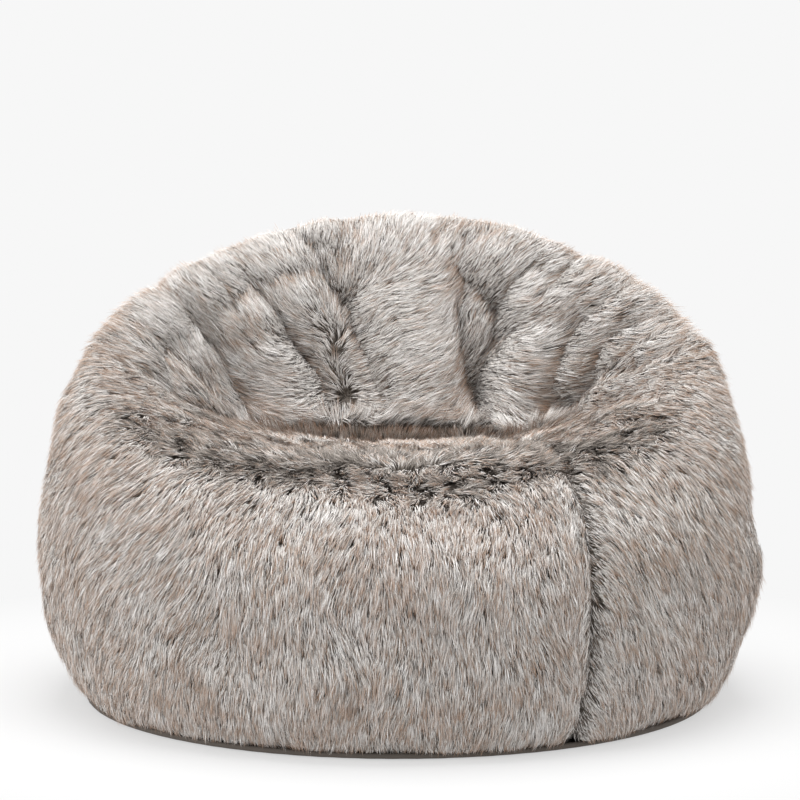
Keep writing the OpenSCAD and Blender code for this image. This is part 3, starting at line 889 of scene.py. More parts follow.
def grid_sheet(name: str, outer: Array, thickness: Array | float, normal: Array) -> bpy.types.Object:
    """A closed sheet over a grid of points.

    Args:
        name: Name of the piece.
        outer: Grid of outer points.
        thickness: How far the inner side lies under the outer one.
        normal: Outward normals on the same grid.

    Returns:
        The linked object, with a bake map laid over both sides.
    """
    n, m = outer.shape[:2]
    thick = np.broadcast_to(np.asarray(thickness), (n, m))[..., None]
    inner = outer - normal * thick
    co = np.concatenate([outer.reshape(-1, 3), inner.reshape(-1, 3)])
    half = n * m
    idx = np.arange(half).reshape(n, m)
    a, b, c, d = idx[:-1, :-1], idx[1:, :-1], idx[1:, 1:], idx[:-1, 1:]
    top = quad_tris(a, b, c, d)
    low = top[:, ::-1] + half
    rims = []
    for edge, flip in ((idx[:, 0], False), (idx[:, -1], True), (idx[0, :], True), (idx[-1, :], False)):
        s, e = edge[:-1], edge[1:]
        strip = np.concatenate([np.stack([e, s, s + half], -1), np.stack([e, s + half, e + half], -1)])
        rims.append(strip[:, ::-1] if flip else strip)
    tris = np.concatenate([top, low, *rims])
    u = np.broadcast_to(np.linspace(0.01, 0.99, n)[:, None], (n, m)).ravel()
    w = np.broadcast_to(np.linspace(0.01, 0.99, m)[None, :], (n, m)).ravel()
    flat = np.stack([u, w], -1)
    uv = np.concatenate([flat, flat])[tris.ravel()]
    return fast_mesh(name, co, tris, uv)


def ringed_body(name: str, rings: Array, low: Array, high: Array) -> bpy.types.Object:
    """A closed body of rings, with a point at each end.

    Args:
        name: Name of the piece.
        rings: Rings of points from the bottom up, each in the same turning sense.
        low: The point under the first ring.
        high: The point over the last ring.

    Returns:
        The linked object.
    """
    m, n = rings.shape[:2]
    idx = np.arange(m * n).reshape(m, n)
    nxt = np.roll(idx, -1, axis=1)
    a, b, c, d = idx[:-1], nxt[:-1], nxt[1:], idx[1:]
    wall = quad_tris(a, b, c, d)
    floor = np.stack([np.full(n, m * n), nxt[0], idx[0]], -1)
    roof = np.stack([np.full(n, m * n + 1), idx[-1], nxt[-1]], -1)
    co = np.concatenate([rings.reshape(-1, 3), [low], [high]])
    return fast_mesh(name, co, np.concatenate([wall, floor, roof]))


def tube(
    name: str,
    path: Array,
    radius: float,
    lean: Array,
    sides: int,
    closed: bool = False,
) -> bpy.types.Object:
    """A round wire or cord along a path.

    Args:
        name: Name of the piece.
        path: Points of its middle.
        radius: Its radius.
        lean: A direction, or one for each point, that is never along the path.
        sides: Sides of its section.
        closed: Whether its ends meet.

    Returns:
        The linked object.
    """
    if closed:
        ahead = unit(np.roll(path, -1, 0) - np.roll(path, 1, 0))
    else:
        ahead = unit(np.gradient(path, axis=0))
    across = unit(np.cross(ahead, np.broadcast_to(lean, path.shape)))
    over = np.cross(across, ahead)
    a = np.linspace(0, math.tau, sides, endpoint=False)
    ring = across[:, None] * np.cos(a)[:, None] + over[:, None] * np.sin(a)[:, None]
    co = path[:, None] + radius * ring
    if not closed:
        return ringed_body(name, co[:, ::-1], path[0], path[-1])
    idx = np.arange(len(path) * sides).reshape(len(path), sides)
    far, turn = np.roll(idx, -1, 0), np.roll(idx, -1, 1)
    both = np.roll(far, -1, 1)
    tris = np.concatenate([np.stack([idx, far, both], -1), np.stack([idx, both, turn], -1)]).reshape(-1, 3)
    return fast_mesh(name, co.reshape(-1, 3), tris)


def joined(name: str, parts: Sequence[bpy.types.Object]) -> bpy.types.Object:
    """Joins several objects into one piece and gives it a name.

    Args:
        name: Name of the piece.
        parts: The objects, which become one.

    Returns:
        The joined piece.
    """
    with bpy.context.temp_override(
        active_object=parts[0], selected_objects=list(parts), selected_editable_objects=list(parts)
    ):
        bpy.ops.object.join()
    parts[0].name = name
    return parts[0]


def node_copy(node: str, name: str) -> bpy.types.Object:
    """A free copy of a frame node's mesh, in its place."""
    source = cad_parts[node]
    obj = bpy.data.objects.new(name, source.data.copy())
    obj.matrix_world = source.matrix_world.copy()
    obj.data.materials.clear()
    bpy.context.scene.collection.objects.link(obj)
    return obj


def crumpled(node: str, name: str, step: float, height: float, scale: float, seed: int) -> bpy.types.Object:
    """A copy of a flat cloth node that lies in low waves.

    Args:
        node: The frame node.
        name: Name of the piece.
        step: Distance between the cuts that give the cloth points to bend at.
        height: Height of the waves.
        scale: Size of the waves.
        seed: Picks their pattern.

    Returns:
        The linked object.
    """
    obj = node_copy(node, name)
    low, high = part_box(node)
    bm = bmesh.new()
    bm.from_mesh(obj.data)
    for axis in (0, 1):
        normal = Vector((1, 0, 0)) if axis == 0 else Vector((0, 1, 0))
        for cut in np.arange(low[axis] + step, high[axis], step):
            geometry = bm.verts[:] + bm.edges[:] + bm.faces[:]
            bmesh.ops.bisect_plane(bm, geom=geometry, plane_co=normal * float(cut), plane_no=normal)
    bm.to_mesh(obj.data)
    bm.free()
    co = np.empty(len(obj.data.vertices) * 3, dtype=np.float32)
    obj.data.vertices.foreach_get("co", co)
    co = co.reshape(-1, 3)
    flat = co.astype(float) * np.array([1.0, 1.0, 0.0])
    co[:, 2] += height * noise(flat, scale, seed).astype(np.float32)
    obj.data.vertices.foreach_set("co", co.ravel())
    obj.data.update()
    return obj


def place(
    obj: bpy.types.Object,
    material: bpy.types.Material,
    slot: str,
    nodes: Sequence[str] = (),
    body: str = "root",
) -> bpy.types.Object:
    """Finishes a piece: its material, its body and what it stands for, and logs its slot.

    Args:
        obj: The piece.
        material: Its only material.
        slot: Name of the material slot, which only goes to the log.
        nodes: Frame nodes that it stands for.
        body: The body that it rides on.

    Returns:
        The same piece.
    """
    obj.data.materials.clear()
    obj.data.materials.append(material)
    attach(obj, body)
    if nodes:
        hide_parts(*nodes)
    log.info("%s: %s on %s", obj.name, slot, body)
    return obj


def dress(node: str, material: bpy.types.Material) -> None:
    """Gives a frame node, whose shape stays, a finish."""
    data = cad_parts[node].data
    data.materials.clear()
    data.materials.append(material)
    log.info("%s: dressed with %s", node, material.name)


# ---------------------------------------------------------------- shader helpers


class Nodes:
    """Small helper that adds nodes to a tree and links them."""

    def __init__(self, tree: bpy.types.NodeTree) -> None:
        """Starts with an empty tree."""
        self.tree = tree
        tree.nodes.clear()

    def add(self, kind: str, **values: object) -> bpy.types.Node:
        """Adds a node and sets attributes on it."""
        node = self.tree.nodes.new(kind)
        for key, value in values.items():
            setattr(node, key, value)
        return node

    def link(self, source: bpy.types.NodeSocket, target: bpy.types.NodeSocket) -> None:
        """Joins two sockets."""
        self.tree.links.new(source, target)

    def math(self, op: str, a: object, b: object = 0.0) -> bpy.types.NodeSocket:
        """A maths node on two sockets or numbers."""
        node = self.add("ShaderNodeMath", operation=op)
        for slot, value in zip(node.inputs, (a, b)):
            if isinstance(value, bpy.types.NodeSocket):
                self.link(value, slot)
            else:
                slot.default_value = float(value)
        return node.outputs[0]

    def mix(self, factor: object, a: object, b: object) -> bpy.types.NodeSocket:
        """A colour mix of two sockets or colours."""
        node = self.add("ShaderNodeMix", data_type="RGBA")
        pairs = ((node.inputs[0], factor), (node.inputs[6], a), (node.inputs[7], b))
        for slot, value in pairs:
            if isinstance(value, bpy.types.NodeSocket):
                self.link(value, slot)
            elif isinstance(value, (int, float)):
                slot.default_value = float(value)
            else:
                slot.default_value = (*value, 1.0)
        return node.outputs[2]

    def ramp(
        self,
        source: bpy.types.NodeSocket,
        stops: Sequence[tuple[float, tuple]],
    ) -> bpy.types.NodeSocket:
        """A colour ramp with the given stops."""
        node = self.add("ShaderNodeValToRGB")
        elements = node.color_ramp.elements
        while len(elements) < len(stops):
            elements.new(0.5)
        for element, (position, colour) in zip(elements, stops):
            element.position = position
            element.color = (*colour, 1.0)
        self.link(source, node.inputs[0])
        return node.outputs[0]

    def curve(
        self,
        source: bpy.types.NodeSocket,
        stops: Sequence[tuple[float, float]],
    ) -> bpy.types.NodeSocket:
        """A grey ramp, used as a curve from 0 to 1."""
        return self.ramp(source, [(position, (value,) * 3) for position, value in stops])

    def group(self, tree: bpy.types.NodeTree, **values: float) -> bpy.types.Node:
        """Places a node group with its own values; an underscore in a name stands for a space."""
        node = self.add("ShaderNodeGroup", node_tree=tree)
        for key, value in values.items():
            node.inputs[key.replace("_", " ")].default_value = value
        return node


def new_finish(name: str) -> tuple[bpy.types.Material, Nodes, bpy.types.Node]:
    """A material with a Principled shader that is joined to its output.

    Args:
        name: The material's name.

    Returns:
        The material, the helper for its tree, and the shader.
    """
    material = bpy.data.materials.new(name)
    material.use_nodes = True
    b = Nodes(material.node_tree)
    shader = b.add("ShaderNodeBsdfPrincipled")
    out = b.add("ShaderNodeOutputMaterial")
    b.link(shader.outputs[0], out.inputs[0])
    return material, b, shader


def weave_group() -> bpy.types.NodeTree:
    """Builds the weave effect once: two crossing sets of threads with uneven yarn.

    Returns:
        A group with inputs Threads, Slub and outputs Shade and Height.
    """
    tree = bpy.data.node_groups.new("weave", "ShaderNodeTree")
    face = tree.interface
    face.new_socket("Threads", in_out="INPUT", socket_type="NodeSocketFloat").default_value = 900.0
    face.new_socket("Slub", in_out="INPUT", socket_type="NodeSocketFloat").default_value = 0.3
    face.new_socket("Shade", in_out="OUTPUT", socket_type="NodeSocketFloat")
    face.new_socket("Height", in_out="OUTPUT", socket_type="NodeSocketFloat")
    b = Nodes(tree)
    source, sink = b.add("NodeGroupInput"), b.add("NodeGroupOutput")
    where = b.add("ShaderNodeTexCoord").outputs["Object"]
    split = b.add("ShaderNodeSeparateXYZ")
    b.link(where, split.inputs[0])
    warp_in = b.math("ADD", split.outputs[0], b.math("MULTIPLY", split.outputs[2], 0.7))
    weft_in = b.math("ADD", split.outputs[1], b.math("MULTIPLY", split.outputs[2], 0.7))
    warp = b.math("SINE", b.math("MULTIPLY", warp_in, source.outputs["Threads"]))
    weft = b.math("SINE", b.math("MULTIPLY", weft_in, source.outputs["Threads"]))
    cross = b.math("MULTIPLY", warp, weft)
    slub = b.add("ShaderNodeTexNoise")
    slub.inputs["Scale"].default_value = 180.0
    slub.inputs["Detail"].default_value = 3.0
    b.link(where, slub.inputs["Vector"])
    uneven = b.math("MULTIPLY", b.math("SUBTRACT", slub.outputs[0], 0.5), source.outputs["Slub"])
    shade = b.math("ADD", b.math("MULTIPLY_ADD", cross, 0.25), 0.5)
    b.link(b.math("ADD", shade, uneven), sink.inputs["Shade"])
    b.link(b.math("ADD", b.math("ABSOLUTE", cross), uneven), sink.inputs["Height"])
    return tree


def wear_group() -> bpy.types.NodeTree:
    """Builds the worn-metal effect once: rubbed high spots and faint scratches.

    Returns:
        A group with inputs Scale and Contrast and output Wear.
    """
    tree = bpy.data.node_groups.new("wear", "ShaderNodeTree")
    face = tree.interface
    face.new_socket("Scale", in_out="INPUT", socket_type="NodeSocketFloat").default_value = 300.0
    face.new_socket("Contrast", in_out="INPUT", socket_type="NodeSocketFloat").default_value = 2.0
    face.new_socket("Wear", in_out="OUTPUT", socket_type="NodeSocketFloat")
    b = Nodes(tree)
    source, sink = b.add("NodeGroupInput"), b.add("NodeGroupOutput")
    where = b.add("ShaderNodeTexCoord").outputs["Object"]
    cloud = b.add("ShaderNodeTexNoise")
    cloud.inputs["Detail"].default_value = 6.0
    b.link(where, cloud.inputs["Vector"])
    b.link(source.outputs["Scale"], cloud.inputs["Scale"])
    wear = b.math("MULTIPLY", b.math("SUBTRACT", cloud.outputs[0], 0.42), source.outputs["Contrast"])
    clamp = b.add("ShaderNodeClamp")
    b.link(wear, clamp.inputs[0])
    b.link(clamp.outputs[0], sink.inputs["Wear"])
    return tree


@dataclass(frozen=True)
class Finish:
    """A cloth, plastic or metal finish made from the shared effects."""

    name: str
    light: tuple[float, float, float]
    dark: tuple[float, float, float]
    roughness: float = 0.8
    metallic: float = 0.0
    threads: float = 0.0
    slub: float = 0.35
    relief: float = 0.3
    wear_scale: float = 0.0
    sheen: float = 0.0

    def build(self, weave: bpy.types.NodeTree, wear: bpy.types.NodeTree) -> bpy.types.Material:
        """Makes the material.

        Args:
            weave: The shared weave group.
            wear: The shared wear group.

        Returns:
            The finished material.
        """
        material, b, shader = new_finish(self.name)
        shader.inputs["Metallic"].default_value = self.metallic
        shader.inputs["Roughness"].default_value = self.roughness
        shader.inputs["Sheen Weight"].default_value = self.sheen
        if self.threads:
            effect = b.group(weave, Threads=self.threads, Slub=self.slub)
            shade, height = effect.outputs["Shade"], effect.outputs["Height"]
        else:
            effect = b.group(wear, Scale=self.wear_scale, Contrast=2.2)
            shade = height = effect.outputs["Wear"]
            rough = b.math("MULTIPLY_ADD", shade, -0.18)
            rough.node.inputs[2].default_value = self.roughness + 0.08
            b.link(rough, shader.inputs["Roughness"])
        b.link(b.mix(shade, self.dark, self.light), shader.inputs["Base Color"])
        if self.relief:
            bump_node = b.add("ShaderNodeBump")
            bump_node.inputs["Strength"].default_value = self.relief
            bump_node.inputs["Distance"].default_value = 0.0004
            b.link(height, bump_node.inputs["Height"])
            b.link(bump_node.outputs[0], shader.inputs["Normal"])
        return material


# The backing under the pile is dyed dark so that the gaps between strands look dark: painted shade.
PILE_BACKING_PAINTED_SHADE = Finish("pile_backing", (0.16, 0.135, 0.115), (0.07, 0.058, 0.05), threads=1500.0)

# the tapes' twill, the base cloth, the liner's cloth, both zips' coils and the metal, in that order
FINISHES: tuple[Finish, ...] = (
    Finish("seam_twill", (0.085, 0.070, 0.058), (0.04, 0.034, 0.029), threads=2600.0),
    Finish("base_canvas", (0.090, 0.075, 0.063), (0.045, 0.038, 0.032), threads=1900.0),
    Finish("liner_calico", (0.80, 0.78, 0.73), (0.62, 0.60, 0.55), threads=2300.0),
    Finish("zip_nylon", (0.13, 0.115, 0.10), (0.07, 0.06, 0.053), 0.45, wear_scale=900.0),
    Finish("liner_nylon", (0.82, 0.81, 0.78), (0.66, 0.65, 0.6), 0.45, wear_scale=900.0),
    Finish("aged_metal", (0.42, 0.38, 0.34), (0.16, 0.14, 0.12), 0.38, 1.0, wear_scale=420.0),
)


@dataclass(frozen=True)
class PileFinish:
    """The pile's dye: every strand runs from a dark root to a pale shaft and a brown tip, save the dark
    strands, which stay dark as painted shade for the gaps in the pile.

    The bake map holds the dye itself: across it lies the strand's tone, up it the way to the tip.
    """

    name: str = "combed_pile"
    root: tuple[float, float, float] = (0.055, 0.046, 0.039)
    dusk: tuple[float, float, float] = (0.150, 0.126, 0.105)
    shaft: tuple[float, float, float] = (0.470, 0.425, 0.385)
    silver: tuple[float, float, float] = (0.860, 0.845, 0.830)
    brown: tuple[float, float, float] = (0.400, 0.258, 0.176)
    roughness: float = 0.62

    def build(self) -> bpy.types.Material:
        """Makes the material."""
        material, b, shader = new_finish(self.name)
        uv = b.add("ShaderNodeUVMap", uv_map=BAKE_UV)
        split = b.add("ShaderNodeSeparateXYZ")
        b.link(uv.outputs[0], split.inputs[0])
        tone, way = split.outputs[0], split.outputs[1]
        pale = tuple(lerp(np.array(self.shaft), np.array(self.silver), 0.5))
        warm = tuple(lerp(np.array(self.brown), np.array(self.shaft), 0.45))
        # dim strands, root and dusk colour all along: painted shade for the gaps in the pile and in its
        # folds
        dim = b.ramp(way, ((0.0, self.root), (0.35, self.root), (0.80, self.dusk), (1.0, self.dusk)))
        plain = b.ramp(way, ((0.0, self.root), (0.26, self.dusk), (0.55, self.shaft), (1.0, self.shaft)))
        base = (0.0, self.root)
        silvered = ((0.60, self.silver), (0.80, self.silver), (1.0, warm))
        browned = ((0.54, self.shaft), (0.68, warm), (0.84, self.brown))
        light = b.ramp(way, (base, (0.22, self.dusk), (0.45, pale), *silvered))
        tipped = b.ramp(way, (base, (0.24, self.dusk), (0.42, pale), *browned))
        low = b.mix(b.curve(tone, ((0.02, 0.0), (0.30, 1.0))), dim, plain)
        mid = b.mix(b.curve(tone, ((0.30, 0.0), (0.60, 1.0))), low, light)
        high = b.mix(b.curve(tone, ((0.60, 0.0), (0.85, 1.0))), mid, tipped)
        b.link(high, shader.inputs["Base Color"])
        shader.inputs["Roughness"].default_value = self.roughness
        shader.inputs["Specular IOR Level"].default_value = 0.15
        return material


@dataclass(frozen=True)
class BeadFinish:
    """White foam beads, each a rounded bump, painted light on its top and painted shade on its sides and in
    the gaps between beads.
    """

    name: str = "foam_beads"
    # top, side and gap: painted light on each bead's top, painted shade on its sides and in the gaps
    top: tuple[float, float, float] = (0.93, 0.93, 0.92)
    side: tuple[float, float, float] = (0.84, 0.84, 0.83)
    gap: tuple[float, float, float] = (0.35, 0.35, 0.34)
    beads_per_metre: float = 260.0
    relief: float = 0.002
    roughness: float = 0.65

    def build(self) -> bpy.types.Material:
        """Makes the material."""
        material, b, shader = new_finish(self.name)
        beads = b.add("ShaderNodeTexVoronoi")
        beads.inputs["Scale"].default_value = self.beads_per_metre
        b.link(b.add("ShaderNodeTexCoord").outputs["Object"], beads.inputs["Vector"])
        distance = beads.outputs["Distance"]
        # painted light and shade: pale at each bead's middle, darker to its sides, darkest in the gaps
        colour = b.ramp(distance, ((0.0, self.top), (0.55, self.side), (1.0, self.gap)))
        b.link(colour, shader.inputs["Base Color"])
        bump_node = b.add("ShaderNodeBump", invert=True)
        bump_node.inputs["Strength"].default_value = 0.8
        bump_node.inputs["Distance"].default_value = self.relief
        b.link(distance, bump_node.inputs["Height"])
        b.link(bump_node.outputs[0], shader.inputs["Normal"])
        shader.inputs["Roughness"].default_value = self.roughness
        return material


# ---------------------------------------------------------------- fur panels


@dataclass
class FurPanel:
    """One sewn panel of the cover: a backing sheet and the pile that grows on it."""

    node: str
    left: Seam
    right: Seam
    start: float
    stop: float
    seed: int
    backing: float = 0.003
    columns: int = 84
    rows: int = 170
    seam_gap: float = 0.0012

    def build(self, cover: Cover, fur: "Fur", backing: bpy.types.Material) -> None:
        """Makes the backing and the pile, and lets them stand for the frame's node.

        Args:
            cover: The cover that the panel is cut from.
            fur: Grows the pile.
            backing: Material of the backing.
        """
        area = cover.surface(self.left, self.right, self.start, self.stop, self.columns, self.rows)
        span = np.linalg.norm(area.root[..., :2] - cover.form.fold(area.phi), axis=-1)
        side = unit(np.gradient(area.root, axis=0))
        keep = np.zeros((self.columns, 1))
        keep[0], keep[-1] = 1.0, -1.0
        shift = keep * self.seam_gap / 2 * np.clip(span / 0.06, 0.03, 1.0)
        outer = area.root + side * shift[..., None]
        sheet = grid_sheet(self.node + "_backing", outer, self.backing, area.normal)
        place(sheet, backing, "fur", [self.node])
        total = fur.grow(self.node, area, self.seed)
        log.info("%s: %d strands", self.node, total)


@dataclass
class Fur:
    """Grows tufts of tapered strands over a patch of the cover."""

    material: bpy.types.Material
    hem_clear: float
    tufts_per_m2: float = 62000.0
    strands: int = 5
    length: float = 0.034
    width: float = 0.00100
    tuft_radius: float = 0.0040
    gather: float = 0.55
    kink: float = 0.42
    lift_root: float = 44.0
    lift_tip: float = 5.0
    hem_out: float = 0.012
    hem_band: float = 0.034
    rear_from: float = 88.0
    lie_spread: float = 4.0
    ground_gap: float = 0.0008
    lean_tone: float = 0.007
    most_strands: int = 60000

    def grow(self, name: str, area: Surface, seed: int) -> int:
        """Grows the pile on one panel.

        Args:
            name: Name of the panel.
            area: The panel's surface.
            seed: Seed of the panel's random numbers.

        Returns:
            How many strands were made.
        """
        rng = np.random.default_rng(seed)
        a = area.root[1:, :-1] - area.root[:-1, :-1]
        b = area.root[:-1, 1:] - area.root[:-1, :-1]
        count = rng.poisson(np.linalg.norm(np.cross(a, b), axis=-1) * self.tufts_per_m2)
        ci, cj = np.nonzero(count)
        ci, cj = np.repeat(ci, count[ci, cj]), np.repeat(cj, count[ci, cj])
        fi, fj = rng.random(len(ci)), rng.random(len(ci))

        def at(grid: Array) -> Array:
            """Reads a grid at the tufts' places."""
            s, t = (fi, fj) if grid.ndim == 2 else (fi[:, None], fj[:, None])
            near = lerp(grid[ci, cj], grid[ci + 1, cj], s)
            far = lerp(grid[ci, cj + 1], grid[ci + 1, cj + 1], s)
            return lerp(near, far, t)

        tufts = Surface(**{key: at(value) for key, value in vars(area).items()})
        self._tufts(name, tufts, rng)
        return len(ci) * self.strands

    def _tone(self, f: Surface, rng: np.random.Generator) -> Array:
        """Tone of each tuft: 0 dark, a half silver, 1 brown tipped.

        Args:
            f: The tufts' places on the cover.
            rng: The panel's random numbers.

        Returns:
            One tone for each tuft.
        """
        p, v = f.root, f.v
        turn = np.abs(signed(f.phi))
        bands = p * np.array([0.45, 0.45, 1.0])
        brown = 0.76 + 0.20 * noise(bands, 0.030, 21) + 0.10 * noise(bands, 0.012, 22)
        # inner back: fewer brown-tipped strands and paler silver ones, partly the pile's own tone and partly
        # painted light on the back's inner slopes
        inner = ease((v - 2.05) / 0.15) * ease((turn - 70) / 30)
        crown = bump(v, 1.92, 0.14) * ease((turn - 60) / 30)
        # lip and seat edge: fewer brown tips on the lip, more on the edge above it; with the darker silver
        # strands below, the lip band is partly its curls' own tone and partly painted shade
        lip = ease((v - 1.62) / 0.14) * ease((74 - turn) / 24)
        edge = ease((v - 1.98) / 0.08) * ease((74 - turn) / 24)
        brown = brown - 0.42 * inner + 0.50 * crown + 0.30 * f.seam - 0.42 * lip + 0.5 * edge
        brown = brown + 1.1 * np.maximum(f.ahead, f.line) * ease((v - 1.7) / 0.3)
        brown = brown + 0.40 * ease((turn - 35) / 25) * ease((1.95 - v) / 0.25)
        # painted light: paler, less brown strands on the inside of the rim, left of the back
        painted_light = self._painted_light(f)
        brown = brown - 0.30 * painted_light
        silver = rng.uniform(0.40, 0.60, len(v)) + 0.09 * inner + 0.07 * painted_light
        # curls on the lip and the seat: silver strands swapped for dark grey ones, partly the curls' own
        # tone and partly painted shade
        silver = lerp(silver, rng.uniform(0.11, 0.24, len(v)), np.clip(0.8 * f.ruffle + lip, 0, 1))
        marked = np.maximum(np.maximum(f.ahead, f.line), crown)
        warm = np.maximum(rng.uniform(0.66, 0.94, len(v)), 0.98 * marked)
        return np.where(rng.random(len(v)) < brown, warm, silver)

    @staticmethod
    def _painted_light(f: Surface) -> Array:
        """Painted light: where the pile is made palest, along the inside of the rim, left of the back, to
        stand in for light falling there.
        """
        turn = signed(f.phi)
        return bump(turn, -126, 24) * ease((f.v - 2.02) / 0.12) * ease((2.70 - f.v) / 0.15)

    def _dark(self, f: Surface) -> Array:
        """Share of dark strands at each tuft: painted shade for the gaps in the pile, more in the folds,
        along their lines, on the lip and at the seams, fewer where light is painted.
        """
        share = (0.10 + 0.03 * noise(f.root, 0.03, 23)) * (1 - 0.6 * self._painted_light(f))
        # painted shade: more dark strands in the folds and along their lines
        deep = 0.12 * f.crease**2 + 0.22 * f.line
        lip = ease((f.v - 1.66) / 0.14) * ease((74 - np.abs(signed(f.phi))) / 24)
        return np.clip(share + deep + np.maximum(0.05 * f.ruffle, 0.05 * lip) + 0.45 * f.seam, 0, 0.8)

    def _tufts(self, name: str, f: Surface, rng: np.random.Generator) -> None:
        """Turns the tufts into strands and the strands into pieces.

        Args:
            name: Name of the panel.
            f: The tufts' places on the cover.
            rng: The panel's random numbers.
        """
        n = len(f.v)
        up, root = unit(f.normal), f.root
        comb = unit(f.comb - up * np.sum(f.comb * up, -1, keepdims=True))
        side = np.cross(comb, up)
        out = unit(root * np.array([1.0, 1.0, 0.0]))
        turn = np.abs(signed(f.phi))
        low = np.where(turn < self.rear_from, np.clip(1 - root[:, 2] / self.hem_band, 0, 1), 0)
        root = root + out * (self.hem_out * np.where(f.v < 1, low, 0))[:, None]
        swing = np.radians(rng.normal(0, 5, n) + f.ruffle * rng.normal(0, 24, n))[:, None]
        comb, side = comb * np.cos(swing) + side * np.sin(swing), side * np.cos(swing) - comb * np.sin(swing)
        in_back = ease((f.v - 2.0) / 0.3) * ease((turn - 70) / 20)
        longer = 1 + 0.15 * ease((f.v - 2.88) / 0.08) + 0.18 * in_back
        length = self.length * longer * rng.uniform(0.80, 1.12, n)
        length = length * (1 - 0.45 * f.seam) * (1 - 0.30 * f.ruffle) * (1 - 0.28 * f.line)
        length = np.minimum(length, self._room(f))
        rise = np.radians(self.lift_root + rng.normal(0, self.lie_spread, n) + 8 * f.ruffle)
        upright = 34 * ease((f.v - 2.86) / 0.10)
        rest = np.radians(self.lift_tip + rng.normal(0, self.lie_spread, n) + 20 * f.ruffle + upright)
        tone, dark = self._tone(f, rng), self._dark(f)
        drop = f.drop * (length / self.length) ** 2

        def each(a: Array) -> Array:
            """Repeats a tuft's value for its strands."""
            return np.repeat(a, self.strands, axis=0)

        root, up, comb, side = each(root), each(up), each(comb), each(side)
        total = n * self.strands
        r = self.tuft_radius * np.sqrt(rng.random(total)) * 1.3
        a = rng.uniform(0, math.tau, total)
        offset = comb * (r * np.cos(a))[:, None] + side * (r * np.sin(a))[:, None]
        length = (each(length) * rng.uniform(0.80, 1.1, total))[:, None]
        rise = (each(rise) + np.radians(rng.normal(0, self.lie_spread, total)))[:, None]
        rest = (each(rest) + np.radians(rng.normal(0, self.lie_spread, total)))[:, None]
        fan = side * rng.normal(0, 0.06, (total, 1))
        p0 = root + offset
        mid = self.kink * length * (comb * np.cos(rise) + up * np.sin(rise) + fan)
        sink = up * each(drop)[:, None]
        p1 = root + offset * (1 + self.gather) / 2 + mid + sink * 0.22
        end = (1 - self.kink) * length * (comb * np.cos(rest) + up * np.sin(rest) + fan * 1.6)
        p2 = root + offset * self.gather + mid + end + sink
        roll = rng.uniform(-0.7, 0.7, (total, 1))
        flat = side * np.cos(roll) + up * np.sin(roll)
        # dark strands take the lowest tones: painted shade for the gaps in the pile
        is_dark = rng.random(total) < each(dark)
        half = flat * (self.width / 2 * rng.uniform(0.75, 1.3, (total, 1)))
        half = np.where(is_dark[:, None], half * 0.85, half)
        co = np.stack([p0 - half, p0 + half, p1 - half, p1 + half, p2], axis=1)
        np.maximum(co[..., 2], self.ground_gap, out=co[..., 2])
        tone = np.where(is_dark, rng.uniform(0.02, 0.20, total), each(tone) + rng.normal(0, 0.05, total))
        self._pieces(name, co, np.clip(tone, 0.015, 0.985), rng)

    def _room(self, f: Surface) -> Array:
        """Longest strand that keeps clear of the ground under the hem and of the zip."""
        turn = np.abs(signed(f.phi))
        floor = np.where(turn > self.rear_from, self.hem_clear, 0.0)
        height = np.maximum(f.root[:, 2] - floor, 0.0)
        least = np.where(turn > self.rear_from, 0.008, 0.024)
        return np.where(f.v < 1, np.maximum(height * 1.25, least), 1.0)

    def _pieces(self, name: str, co: Array, tone: Array, rng: np.random.Generator) -> None:
        """Writes the strands out as pieces of a moderate size.

        Args:
            name: Name of the panel.
            co: Five points for each strand: two at the root, two at the bend and the tip.
            tone: One tone for each strand.
            rng: The panel's random numbers, which share the strands out.
        """
        way = np.array([0.0, 0.0, self.kink, self.kink, 1.0])
        lean = np.array([-1.0, 1.0, -1.0, 1.0, 0.0]) * self.lean_tone
        order = rng.permutation(len(co))
        for part, rows in enumerate(np.array_split(order, math.ceil(len(co) / self.most_strands))):
            pts = co[rows].reshape(-1, 3)
            base = np.arange(len(rows))[:, None, None] * 5
            tris = (base + np.array([[0, 1, 3], [0, 3, 2], [2, 3, 4]])).reshape(-1, 3)
            across = tone[rows][:, None] + lean
            uv = np.stack([across, np.broadcast_to(0.01 + 0.98 * way, across.shape)], -1)
            obj = fast_mesh(f"{name}_pile_{part + 1}", pts, tris, uv.reshape(-1, 2)[tris.ravel()])
            place(obj, self.material, "fur", [name])


# ---------------------------------------------------------------- binding, base, liner and filling


